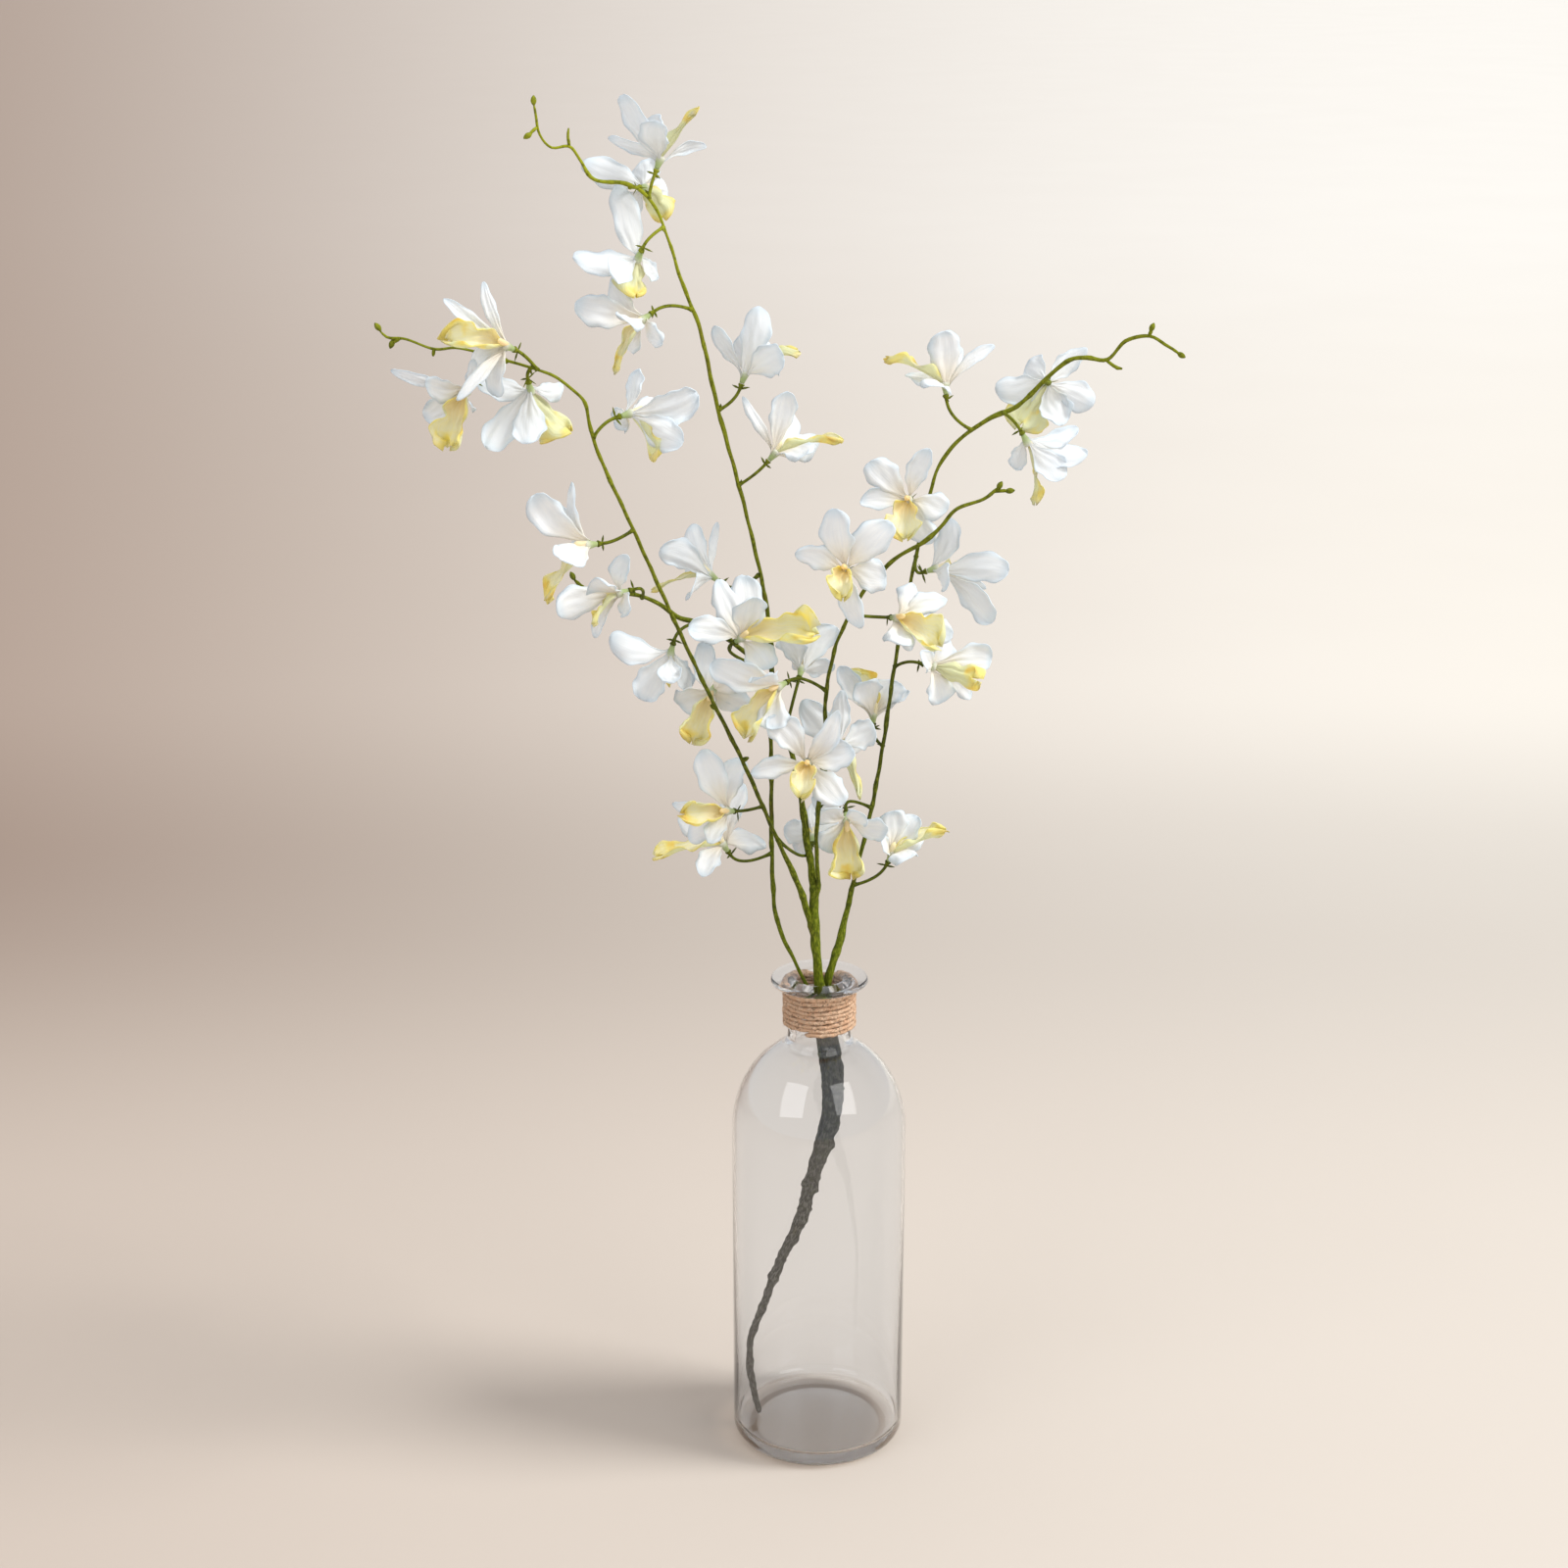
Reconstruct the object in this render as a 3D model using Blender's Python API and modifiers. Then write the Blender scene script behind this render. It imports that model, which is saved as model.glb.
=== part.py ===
"""Orchid arrangement: a clear glass bottle with a twine-wrapped neck, three green stems
leaning in it and thirty-four small white orchid blooms on arched pedicels.

Sizes below are in millimetres and turn into metres where a mesh is made. The origin is the
middle of the bottle's flat underside, +Z is up and the front looks along -Y.
"""
import math
import random

import bmesh
import bpy
import numpy as np
from mathutils import Matrix, Vector

MM = 0.001
GAP = 0.3

# Glass bottle
BOTTLE_RADIUS = 47.5
BOTTLE_HEIGHT = 274.5
BOTTLE_WALL = 2.6
BASE_THICKNESS = 8.0
HEEL_RADIUS = 8.0
SHOULDER_START = 186.0
SHOULDER_RISE = 54.5
NECK_RADIUS = 17.0
NECK_BORE = 12.6
MOUTH_BORE = 11.7
RIM_RADIUS = 26.2
RIM_THICKNESS = 3.2
BOTTLE_SIDES = 24

# Twine wound round the neck
TWINE_DIAMETER = 2.5
TWINE_ROWS = 9
TWINE_TOP = 268.6
TWINE_SIDES = 22

# Stems
PEDICEL_RADIUS = 0.95
PEDICEL_POINTS = 4
CALYX_RADIUS = 1.9
CALYX_LENGTH = 2.5
BUD_RADIUS = 2.1

# One bloom
BLADE_THICKNESS = 0.7
SPUR_LENGTH = 6.5
SPUR_RADIUS = 1.5
HEART_RADIUS = 3.3
HEART_DEPTH = 4.0
ROOT_OFFSET = 1.4
LIP_ROOT = 1.3
PETAL_ROWS = (0.0, 0.38, 0.8, 1.0)
SPREAD_TO_FRONT = 1.2
FRONT = np.array((0.0, -1.0, 0.2))
LAYER = 0.8
LIP_ROWS = (0.04, 0.55, 1.0)
LIP_POINTS = 4


def clear_scene():
    for item in list(bpy.data.objects):
        bpy.data.objects.remove(item, do_unlink=True)


def new_collection(name):
    made = bpy.data.collections.new(name)
    bpy.context.scene.collection.children.link(made)
    return made


def surface(name, colour, roughness, metallic=0.0, transmission=0.0):
    """A Principled material with one colour."""
    made = bpy.data.materials.new(name)
    made.use_nodes = True
    shader = made.node_tree.nodes["Principled BSDF"]
    shader.inputs["Base Color"].default_value = (*colour, 1.0)
    shader.inputs["Roughness"].default_value = roughness
    shader.inputs["Metallic"].default_value = metallic
    shader.inputs["Transmission Weight"].default_value = transmission
    return made


clear_scene()
PARTS = new_collection("orchid_arrangement")
GLASS = surface("clear_glass", (0.90, 0.94, 0.94), 0.05, transmission=1.0)
JUTE = surface("jute_twine", (0.46, 0.33, 0.20), 0.9)
STEM_GREEN = surface("stem_green", (0.16, 0.19, 0.03), 0.6)
PETAL_WHITE = surface("petal_white", (0.86, 0.88, 0.92), 0.55)
LIP_YELLOW = surface("lip_yellow", (0.92, 0.80, 0.30), 0.55)


def object_from_mesh(name, mesh, materials, collection=PARTS):
    made = bpy.data.objects.new(name, mesh)
    collection.objects.link(made)
    for material in materials:
        mesh.materials.append(material)
    return made


def lathe(name, profile, sides, material):
    """Turn a profile of (radius, height) points about the Z axis."""
    mesh = bpy.data.meshes.new(name)
    points = [(radius * MM, 0.0, height * MM) for radius, height in profile]
    closed = profile[0][0] > 0.0
    edges = [(i, i + 1) for i in range(len(points) - 1)]
    if closed:
        edges.append((len(points) - 1, 0))
    mesh.from_pydata(points, edges, [])
    made = object_from_mesh(name, mesh, [material])
    screw = made.modifiers.new("turn", "SCREW")
    screw.steps = sides
    screw.render_steps = sides
    screw.use_merge_vertices = True
    screw.merge_threshold = 0.00001
    screw.use_smooth_shade = True
    return made


def arc(centre_r, centre_z, size_r, size_z, start, end, count):
    """Points on an ellipse arc, angles in degrees from the radial direction."""
    angles = np.radians(np.linspace(start, end, count))
    return [(centre_r + size_r * math.cos(a), centre_z + size_z * math.sin(a)) for a in angles]


def bottle_profile():
    """Floor, inner wall, neck, rim, outer wall, heel and flat underside, in that order."""
    inner = BOTTLE_RADIUS - BOTTLE_WALL
    inner_rise = SHOULDER_RISE - BOTTLE_WALL
    neck_angle = math.degrees(math.acos(NECK_RADIUS / BOTTLE_RADIUS))
    bore_angle = math.degrees(math.acos((NECK_BORE + 1.0) / inner))
    inside = [(0.0, BASE_THICKNESS)]
    inside += arc(inner - 9.0, BASE_THICKNESS + 5.0, 9.0, 5.0, -90, 0, 4)
    inside += arc(0.0, SHOULDER_START, inner, inner_rise, 0, bore_angle, 7)
    inside += [(NECK_BORE, 241.0), (NECK_BORE, 268.0), (MOUTH_BORE, 271.0)]
    half = RIM_THICKNESS / 2
    rim_mid = BOTTLE_HEIGHT - half
    rim = [(MOUTH_BORE + 0.9, BOTTLE_HEIGHT - 0.4), (MOUTH_BORE + 3.5, BOTTLE_HEIGHT)]
    rim += arc(RIM_RADIUS - half, rim_mid, half, half, 90, -90, 5)
    outside = [(NECK_RADIUS + 2.2, 270.6), (NECK_RADIUS, 269.2), (NECK_RADIUS, 241.5)]
    outside += [(NECK_RADIUS + 0.8, 238.6)]
    outside += arc(0.0, SHOULDER_START, BOTTLE_RADIUS, SHOULDER_RISE, neck_angle - 4, 0, 8)
    heel_centre = BOTTLE_RADIUS - HEEL_RADIUS
    outside += arc(heel_centre, HEEL_RADIUS, HEEL_RADIUS, HEEL_RADIUS, 0, -90, 5)
    return inside + rim + outside + [(0.0, 0.0)]


def make_bottle():
    return lathe("vase_bottle", bottle_profile(), BOTTLE_SIDES, GLASS)


def make_twine():
    """A ring round the neck, its outside ridged by the rows of the winding."""
    inner = NECK_RADIUS + GAP
    bottom = TWINE_TOP - TWINE_ROWS * TWINE_DIAMETER
    profile = [(inner, bottom + 0.4), (inner, TWINE_TOP - 0.4)]
    for row in range(TWINE_ROWS):
        top = TWINE_TOP - row * TWINE_DIAMETER
        profile.append((inner + 0.45 * TWINE_DIAMETER, top))
        profile.append((inner + 0.92 * TWINE_DIAMETER, top - TWINE_DIAMETER / 2))
    profile.append((inner + 0.45 * TWINE_DIAMETER, bottom))
    return lathe("neck_twine", profile, TWINE_SIDES, JUTE)


def tube(name, route, collection, sides=6):
    """A round bar along (x, y, z, radius) points, as a closed mesh object."""
    curve = bpy.data.curves.new(name, "CURVE")
    curve.dimensions = "3D"
    curve.bevel_depth = MM
    curve.bevel_resolution = (sides - 4) // 2
    curve.use_fill_caps = True
    spline = curve.splines.new("POLY")
    spline.points.add(len(route) - 1)
    for point, (x, y, z, radius) in zip(spline.points, route):
        point.co = (x * MM, y * MM, z * MM, 1.0)
        point.radius = radius
    bar = bpy.data.objects.new(name, curve)
    collection.objects.link(bar)
    bpy.context.view_layer.update()
    evaluated = bar.evaluated_get(bpy.context.evaluated_depsgraph_get())
    mesh = bpy.data.meshes.new_from_object(evaluated)
    work = bmesh.new()
    work.from_mesh(mesh)
    bmesh.ops.remove_doubles(work, verts=work.verts, dist=0.00001)
    work.to_mesh(mesh)
    work.free()
    made = object_from_mesh(name + "_mesh", mesh, [STEM_GREEN], collection)
    made.matrix_world = bar.matrix_world.copy()
    bpy.data.objects.remove(bar, do_unlink=True)
    return made


def keep_largest_shell(mesh):
    """Drop sealed hollows and loose scraps that a union may leave."""
    work = bmesh.new()
    work.from_mesh(mesh)
    left = set(work.verts)
    shells = []
    while left:
        stack = [left.pop()]
        shell = set(stack)
        while stack:
            for edge in stack.pop().link_edges:
                for vert in edge.verts:
                    if vert in left:
                        left.discard(vert)
                        shell.add(vert)
                        stack.append(vert)
        shells.append(shell)
    shells.sort(key=len)
    loose = [vert for shell in shells[:-1] for vert in shell]
    bmesh.ops.delete(work, geom=loose, context="VERTS")
    work.to_mesh(mesh)
    work.free()


def fuse(name, base, collection):
    """One Boolean union of a base with every object of a collection."""
    join = base.modifiers.new("join", "BOOLEAN")
    join.operation = "UNION"
    join.operand_type = "COLLECTION"
    join.collection = collection
    join.solver = "MANIFOLD"
    bpy.context.view_layer.update()
    evaluated = base.evaluated_get(bpy.context.evaluated_depsgraph_get())
    mesh = bpy.data.meshes.new_from_object(evaluated)
    keep_largest_shell(mesh)
    mesh.name = name
    bpy.data.objects.remove(base, do_unlink=True)
    for item in list(collection.objects):
        bpy.data.objects.remove(item, do_unlink=True)
    made = bpy.data.objects.new(name, mesh)
    PARTS.objects.link(made)
    mesh.shade_smooth()
    mesh.set_sharp_from_angle(angle=math.radians(50))
    return made


# Routes of the stems: x, y, z and radius. The trunk starts on the bottle's floor near the
# left wall, swings up to the mouth and splits above it.
TRUNK = [(-33.5, 0, BASE_THICKNESS + GAP, 1.4), (-37.5, 0, 28, 1.7), (-39, 0, 46, 1.8),
         (-37, 0, 60, 1.9), (-31, 0, 76, 2.1), (-25, 0, 93, 2.3), (-18.5, 0, 110, 2.6),
         (-11.5, 0, 125, 2.9), (-7.5, 0, 138, 3.2), (-4, 0, 152, 3.5), (1, 0, 168, 3.8),
         (6, 0, 186, 4.1), (8, 0, 204, 4.1), (7, 0, 221, 3.6), (4, 0, 238, 3),
         (1.5, -1.5, 256, 2.6), (0, -2, 272, 2.6), (-2, -2, 292, 2.5), (-3, -1, 312, 2.6),
         (-3, 1, 328, 2.2)]
ARCH = [(-3, -1, 312, 2.2), (-3.5, 1, 328, 2), (-7, 4, 350, 1.9), (-10, 7, 374, 1.55),
        (-17, 10, 404, 1.43), (-25, 11, 428, 1.34), (-36, 10, 448, 1.34), (-49, 5, 461, 1.27),
        (-62, -1, 470, 1.27), (-74, -8, 476, 1.27), (-86, -14, 486, 1.1), (-99, -20, 491, 0.95),
        (-112, -26, 494, 0.87), (-120, -30, 497, 0.79), (-124, -32, 501, 0.79)]
MIDDLE = [(-3, -1, 312, 2), (-1, -1, 328, 1.18), (-2, -5, 350, 1.11), (-1, -10, 374, 1.11),
          (2, -19, 412, 1.11), (2.5, -25, 440, 0.98), (7, -31, 466, 0.93), (14, -36, 484, 0.87),
          (23, -40, 500, 1.08), (38, -43, 516, 1.08), (50, -44, 523, 1.01), (59, -45, 532, 1.01),
          (67, -46, 541, 0.94), (79, -46, 545, 0.8), (86, -46, 551, 0.8)]
LEFT = [(-2.6, -1.5, 296, 1.75), (-5, -2, 306, 1.66), (-11, -8, 328, 1.66), (-24, -18, 362, 1.06),
        (-42, -30, 409, 1.06), (-58, -40, 446, 0.97), (-79, -52, 498, 0.97), (-93, -60, 534, 0.91),
        (-106, -65, 565, 0.91), (-112, -67, 584, 0.85), (-114, -67, 596, 0.82),
        (-120, -67, 603, 0.76), (-130, -66, 610, 0.71), (-144, -62, 614, 0.71),
        (-160, -58, 618, 0.66), (-175, -54, 621, 0.66), (-188, -50, 620, 0.64),
        (-203, -44, 624, 0.64), (-211, -41, 624, 0.64), (-215, -40, 627, 0.64)]
TALL_OUT = [(-8, 3, 270, 1.01), (-13, 4, 281, 1.01), (-19, 6, 293, 1.16), (-24, 10, 309, 1.16),
            (-25.5, 16, 339, 1.16), (-26, 24, 392, 1.16), (-26.5, 30, 457, 1.16),
            (-37, 34, 513, 1.01), (-53, 38, 574, 1.11), (-62, 38, 615, 1.04),
            (-71, 36, 640, 0.91), (-79, 34, 666, 0.73), (-87, 30, 683, 0.85),
            (-99, 24, 691, 0.91), (-113, 18, 693, 0.91), (-120, 14, 703, 0.78),
            (-125, 12, 710, 0.73), (-134, 8, 710, 0.66), (-139, 5, 717, 0.64),
            (-141, 1, 731, 0.64)]
RIGHT_OUT = [(4.6, 3, 270, 2.2), (7.5, 5, 281, 2.1), (11, 8, 292, 2.1), (18, 15, 321, 1.17),
             (28, 26, 361, 1.12), (34, 32, 395, 1.05), (40, 39, 437, 0.99), (48, 44, 481, 0.99),
             (55, 47, 515, 0.99), (60, 48, 537, 0.93), (66, 48, 549, 1.03), (74, 47, 558, 1.03),
             (87, 44, 568, 1.23), (102, 40, 576, 1.14), (114, 35, 589, 1.14),
             (126, 29, 601, 1.14), (135, 26, 603, 1.06), (146, 23, 603, 0.98),
             (154, 19, 613, 0.98), (165, 14, 616, 0.9), (174, 10, 612, 0.82),
             (180, 8, 608, 0.82)]
LEFT_STUB = [(-188, -50, 620, 0.8), (-188.5, -50.4, 616.5, 0.7)]
RIGHT_STUB = [(144, 23.6, 603, 0.9), (150, 21, 599, 0.8), (153, 20, 598.5, 0.7)]
TALL_STUB = [(-125, 12, 710, 0.9), (-125.5, 11, 715, 0.7), (-125, 10, 719, 0.6)]
LEFT_SIDE_TIP = [(-205, -43.5, 624, 0.8), (-209, -41, 621.5, 0.8)]
TALL_SIDE_TIP = [(-140, 3.5, 720, 0.8), (-144, 2, 716.5, 0.8)]
MIDDLE_SIDE_TIP = [(84, -46, 549, 0.9), (88, -46, 549.5, 0.9), (92, -46, 549.5, 0.8)]
RIGHT_SIDE_TIP = [(165, 14, 616, 0.8), (166.5, 13.5, 620, 0.8)]


def beside(route, top, bottom, start_angle, turn, radius, step=13.0):
    """Points that lie along the trunk, from one height down to another, slowly winding."""
    heights = route[:, 2]
    count = int(round((top - bottom) / step)) + 1
    out = []
    for i, height in enumerate(np.linspace(top, bottom, count)):
        core = np.array([np.interp(height, heights, route[:, k]) for k in (0, 1, 3)])
        here = radius * (1.0 - 0.25 * i / (count - 1))
        angle = math.radians(start_angle + turn * i / (count - 1))
        away = core[2] + here + GAP
        out.append((core[0] + away * 1.12 * math.cos(angle), core[1] + away * math.sin(angle),
                    height, here))
    return out


def bud(name, centre, collection, lean=(0.0, 0.0, 1.0)):
    """A small egg-shaped bud that points along lean."""
    mesh = bpy.data.meshes.new(name)
    work = bmesh.new()
    bmesh.ops.create_uvsphere(work, u_segments=6, v_segments=4, radius=BUD_RADIUS * MM)
    turn = Vector(lean).to_track_quat("Z", "Y").to_matrix().to_4x4()
    place = Matrix.Translation(Vector(centre) * MM) @ turn @ Matrix.Diagonal((0.8, 0.8, 1.5, 1))
    bmesh.ops.transform(work, matrix=place, verts=work.verts)
    work.to_mesh(mesh)
    work.free()
    return object_from_mesh(name, mesh, [STEM_GREEN], collection)


def point_at_height(route, height):
    """The first point along a route that reaches a height."""
    for a, b in zip(route[:-1], route[1:]):
        if a[2] <= height <= b[2]:
            share = (height - a[2]) / max(b[2] - a[2], 1e-9)
            return a + (b - a) * share
    return route[-1]


# Blooms, stem by stem. Each gives the height at which its pedicel leaves the stem, its seat
# at the pedicel's end, where its face looks, the reach of its lip and the lip's mouth radius,
# and its five petals: the kind and the reach from the seat to the tip. X runs to the right,
# Y to the back and Z up.
TALL_BLOOMS = {
    "tall_1": (683, (-83, 31, 697), (0.35, 0.2, 0.9), (19, -5, 32), 5,
               (("sepal", -17, 2, 36), ("thin", -26, 12, 13), ("broad", 1, -18, 23),
                ("thin", 25, 14, 10), ("broad", -4, 24, 22))),
    "tall_2": (689, (-92, 40, 687), (0.4, 0.8, -0.1), (12, 13, -13), 9,
               (("broad", -28, 8, 14), ("broad", 0, 18, 12), ("sepal", -14, 16, -16),
                ("sepal", 14, 24, -4), ("sepal", 5, 27, 6))),
    "tall_3": (668, (-91, 26, 657), (-0.35, 0.4, -0.75), (-6, 3, -21), 11,
               (("broad", -11, 2, 33), ("broad", -32, -6, 0), ("broad", -17, -22, -8),
                ("sepal", 9, 14, -13), ("sepal", -22, 12, -10))),
    "tall_4": (626, (-87, 28, 625), (-0.6, -0.35, -0.4), (-21, -8, -25), 6,
               (("sepal", -20, 10, 17), ("broad", -37, -4, 5), ("broad", -12, -26, 4),
                ("sepal", 6, -22, -11), ("sepal", -16, 14, -20))),
    "tall_5": (574, (-41, 42, 587), (0.3, 0.2, 0.85), (25, 8, 20), 7,
               (("broad", 7, 0, 39), ("sepal", -17, 8, 26), ("broad", 23, -13, 16),
                ("sepal", 17, 24, 17), ("broad", -2, 26, 20))),
    "tall_6": (535, (-27, 36, 548), (0.6, 0.1, 0.65), (32, 2, 16), 7,
               (("broad", 9, -4, 37), ("thin", -15, 6, 30), ("broad", 18, -20, 8),
                ("sepal", 12, 24, 22), ("broad", 24, 20, 6))),
    "tall_7": (488, (-54, 40, 483), (-0.7, 0.15, 0.5), (-34, 6, -1), 4,
               (("broad", -30, -8, 18), ("sepal", -14, 10, 28), ("thin", 1, 14, 28),
                ("broad", -16, -20, -4), ("sepal", -16, 28, 3))),
    "tall_8": (339, (-49, 10, 342), (-0.45, -0.2, 0.75), (-34, -8, 7), 8,
               (("sepal", 9, 8, 36), ("broad", 20, 15, 3), ("sepal", -13, -20, -8),
                ("broad", -24, 14, 18), ("sepal", -14, 22, -10))),
}
LEFT_BLOOMS = {
    "left_1": (612, (-147.5, -70, 623), (-0.6, -0.55, 0.4), (-27, -13, 9), 9,
               (("thin", -33, 4, 23), ("thin", -14, 8, 29), ("broad", -10, -4, -22),
                ("thin", -26, -14, -22), ("sepal", -22, 8, -12))),
    "left_2": (616, (-169, -62, 605), (-0.35, -0.65, -0.5), (-12, -10, -26), 10,
               (("thin", -39, -4, 7), ("sepal", -25, 8, -18), ("thin", 3, -12, 14),
                ("sepal", -21, -10, 3), ("broad", -9, 20, -12))),
    "left_3": (613, (-142, -58, 605), (0.1, 0.45, -0.8), (13, 8, -25), 11,
               (("broad", -20, -4, -33), ("broad", 1, -12, -29), ("sepal", -25, 6, 0),
                ("sepal", 16, 9, -3), ("sepal", 0, 22, -20))),
    "left_4": (580, (-98, -60, 589), (0.7, 0.3, 0.15), (20, 4, -17), 8,
               (("sepal", 8, 14, 21), ("broad", 37, 0, 10), ("broad", 29, -8, -11),
                ("sepal", -4, 22, -6), ("sepal", 18, 26, 4))),
    "left_5": (533, (-110, -64, 527), (-0.7, -0.35, 0.0), (-28, -8, -21), 8,
               (("broad", -30, -4, 25), ("thin", -12, 8, 29), ("broad", -17, -22, -3),
                ("sepal", -22, 20, 14), ("sepal", -10, 22, -14))),
    "left_6": (378, (-45, -24, 376), (-0.65, -0.6, 0.2), (-23, -14, 4), 8,
               (("broad", -17, 0, 33), ("broad", 2, 4, 28), ("thin", -33, 8, 2),
                ("broad", -26, 10, -16), ("sepal", -12, -17, -12))),
    "left_7": (358, (-4, 20, 343), (0.1, 0.85, 0.3), (3, 24, -2), 7,
               (("broad", -15, 8, 6), ("broad", 14, 14, 8), ("sepal", 2, 24, 16),
                ("sepal", -8, 20, -12), ("sepal", 10, 22, -10))),
}
ARCH_BLOOMS = {
    "arch_1": (471, (-76, -12, 462), (-0.25, -0.05, -0.9), (-10, 12, -22), 8,
               (("broad", -31, -4, 4), ("broad", -16, -8, -27), ("sepal", 2, -22, -14),
                ("broad", 12, 12, -26), ("sepal", -10, 22, -14))),
    "arch_2": (440, (-54, -14, 442), (-0.3, -0.5, -0.6), (-12, -12, -27), 10,
               (("broad", 13, 8, -17), ("broad", -20, 5, -14), ("sepal", -6, 18, 18),
                ("broad", 13, -14, 12), ("sepal", 2, 20, -15))),
    "arch_3": (445, (-44, -6, 462), (0.6, -0.5, 0.5), (36, -11, 11), 12,
               (("broad", -10, 8, 30), ("broad", 5, 12, 31), ("broad", 9, -10, 27),
                ("broad", -24, -10, 10), ("broad", 18, -12, -11))),
    "arch_4": (408, (-11, 16, 437), (0.2, 0.6, 0.6), (2, 24, 16), 8,
               (("broad", 19, 10, 25), ("broad", -7, 5, 21), ("sepal", 6, 26, 14),
                ("sepal", -6, 24, 2), ("sepal", 18, 20, 0))),
    "arch_5": (488, (-97, -30, 495), (-0.75, -0.25, -0.15), (-20, -10, -11), 5,
               (("broad", -36, -5, -9), ("sepal", 0, -2, 19), ("thin", -18, 2, -25),
                ("sepal", 2, -18, -8), ("broad", -16, -18, 10))),
}
MIDDLE_BLOOMS = {
    "middle_1": (501, (12, -50, 511), (-0.15, -0.9, 0.2), (-3, -21, -5), 8,
                 (("broad", -5, -10, 33), ("broad", 21, -8, 26), ("sepal", -26, -8, 9),
                  ("broad", 20, -6, -4), ("sepal", 8, -5, -28))),
    "middle_2": (484, (35, -26, 480), (0.5, -0.65, 0.15), (22, -15, -7), 9,
                 (("broad", 6, -18, -10), ("broad", 29, 6, -10), ("broad", 14, 8, 15),
                  ("sepal", 27, 10, 6), ("sepal", 12, 6, -19))),
    "middle_3": (441, (-18, -30, 447), (-0.6, -0.55, -0.2), (-22, -12, -22), 9,
                 (("broad", -38, -6, 12), ("broad", -6, -16, -20), ("broad", -12, -24, 11),
                  ("sepal", -26, 14, 2), ("sepal", -8, 20, -14))),
    "middle_4": (383, (-7, -30, 405), (-0.05, -0.95, 0.1), (-3, -21, -8), 9,
                 (("broad", -21, -10, 26), ("sepal", 15, -8, 30), ("broad", 23, -8, 9),
                  ("sepal", -29, -6, -4), ("broad", 18, -8, -20))),
    "middle_5": (372, (9, 4, 402), (0.25, 0.65, 0.0), (13, 8, -26), 5,
                 (("sepal", 2, 8, 29), ("broad", 14, 18, -5), ("broad", 20, 10, 8),
                  ("broad", -19, 10, 21), ("sepal", -8, 22, -6))),
}
RIGHT_BLOOMS = {
    "right_1": (562, (65, 44, 581), (-0.1, 0.05, 0.95), (-26, 2, 24), 8,
                (("broad", -2, -5, 34), ("thin", 25, 6, 25), ("sepal", -20, 8, 8),
                 ("broad", -9, -20, 9), ("broad", 4, 26, 20))),
    "right_2": (589, (118, 46, 587), (0.0, 0.85, -0.15), (-12, 9, -22), 9,
                (("broad", -10, 18, 9), ("broad", -26, 8, -6), ("sepal", 21, 12, 16),
                 ("broad", 25, 8, -13), ("broad", 7, 4, -24))),
    "right_3": (572, (104, 30, 563), (0.45, 0.0, -0.75), (13, 2, -34), 6,
                (("broad", 33, -4, -12), ("sepal", 30, 9, 0), ("broad", 20, -11, -22),
                 ("sepal", -4, 8, -19), ("sepal", 14, 20, -18))),
    "right_4": (505, (46.5, 30, 529), (-0.2, -0.9, 0.15), (-4, -20, -12), 9,
                (("broad", -22, -8, 21), ("sepal", 9, -8, 28), ("sepal", -26, -8, 1),
                 ("broad", 19, -10, -4), ("broad", 12, -8, -20))),
    "right_5": (495, (56, 36, 489), (0.7, 0.05, 0.2), (22, 18, -8), 8,
                (("sepal", 13, 6, 27), ("broad", 43, -4, 0), ("broad", 33, -6, -27),
                 ("sepal", 8, -21, -3), ("thin", 32, 16, -12))),
    "right_6": (436, (55, 30, 440), (0.7, -0.15, -0.15), (28, -11, -5), 9,
                (("broad", 37, 5, 1), ("sepal", -3, -18, 11), ("sepal", 25, 8, -20),
                 ("broad", 12, 16, 10), ("broad", 10, -8, -19))),
    "right_7": (394, (29, 44, 403), (0.0, 0.05, 0.95), (-7, 8, 27), 8,
                (("sepal", -18, 2, 32), ("broad", -5, -14, 26), ("broad", 14, 8, 21),
                 ("sepal", 18, 12, 14), ("broad", -4, 24, 16))),
    "right_8": (361, (14, 16, 362), (0.05, -0.5, -0.6), (3, -10, -34), 12,
                (("broad", -14, -14, 8), ("broad", -11, -8, -20), ("broad", 22, -9, -7),
                 ("sepal", -16, 10, 6), ("sepal", 10, -16, 4))),
    "right_9": (321, (37, 22, 332), (0.35, -0.1, 0.8), (25, 2, 20), 8,
                (("broad", 2, 0, 29), ("broad", 16, 9, 23), ("broad", 11, -20, 11),
                 ("sepal", 20, 18, 8), ("sepal", -6, -15, 15))),
}
BLOOM_TABLES = (TALL_BLOOMS, LEFT_BLOOMS, ARCH_BLOOMS, MIDDLE_BLOOMS, RIGHT_BLOOMS)

# The kinds of petal: width, how blunt the tip is (2 is pointed, 6 is round) and the steps
# across. A broad petal is a trough; the narrower ones are flat across.
PETAL_KINDS = {"broad": (17.0, 5.5, (-1, 0, 1)), "sepal": (13.5, 3.0, (-1, 1)),
               "thin": (8.0, 2.4, (-1, 1))}


def pedicel(route, height, seat, face):
    """A thin arched stalk from the stem to a bloom's seat, swelling straight at its end."""
    root = point_at_height(route, height)[:3]
    seat = np.array(seat, float)
    face = np.array(face) / np.linalg.norm(face)
    neck = seat - face * CALYX_LENGTH
    bend = neck - face * 0.45 * np.linalg.norm(neck - root)
    out = []
    for t in np.linspace(0.0, 1.0, PEDICEL_POINTS):
        point = (1 - t) ** 2 * root + 2 * t * (1 - t) * bend + t ** 2 * neck
        out.append((*point, PEDICEL_RADIUS))
    out.append((*seat, CALYX_RADIUS))
    return out


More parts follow.
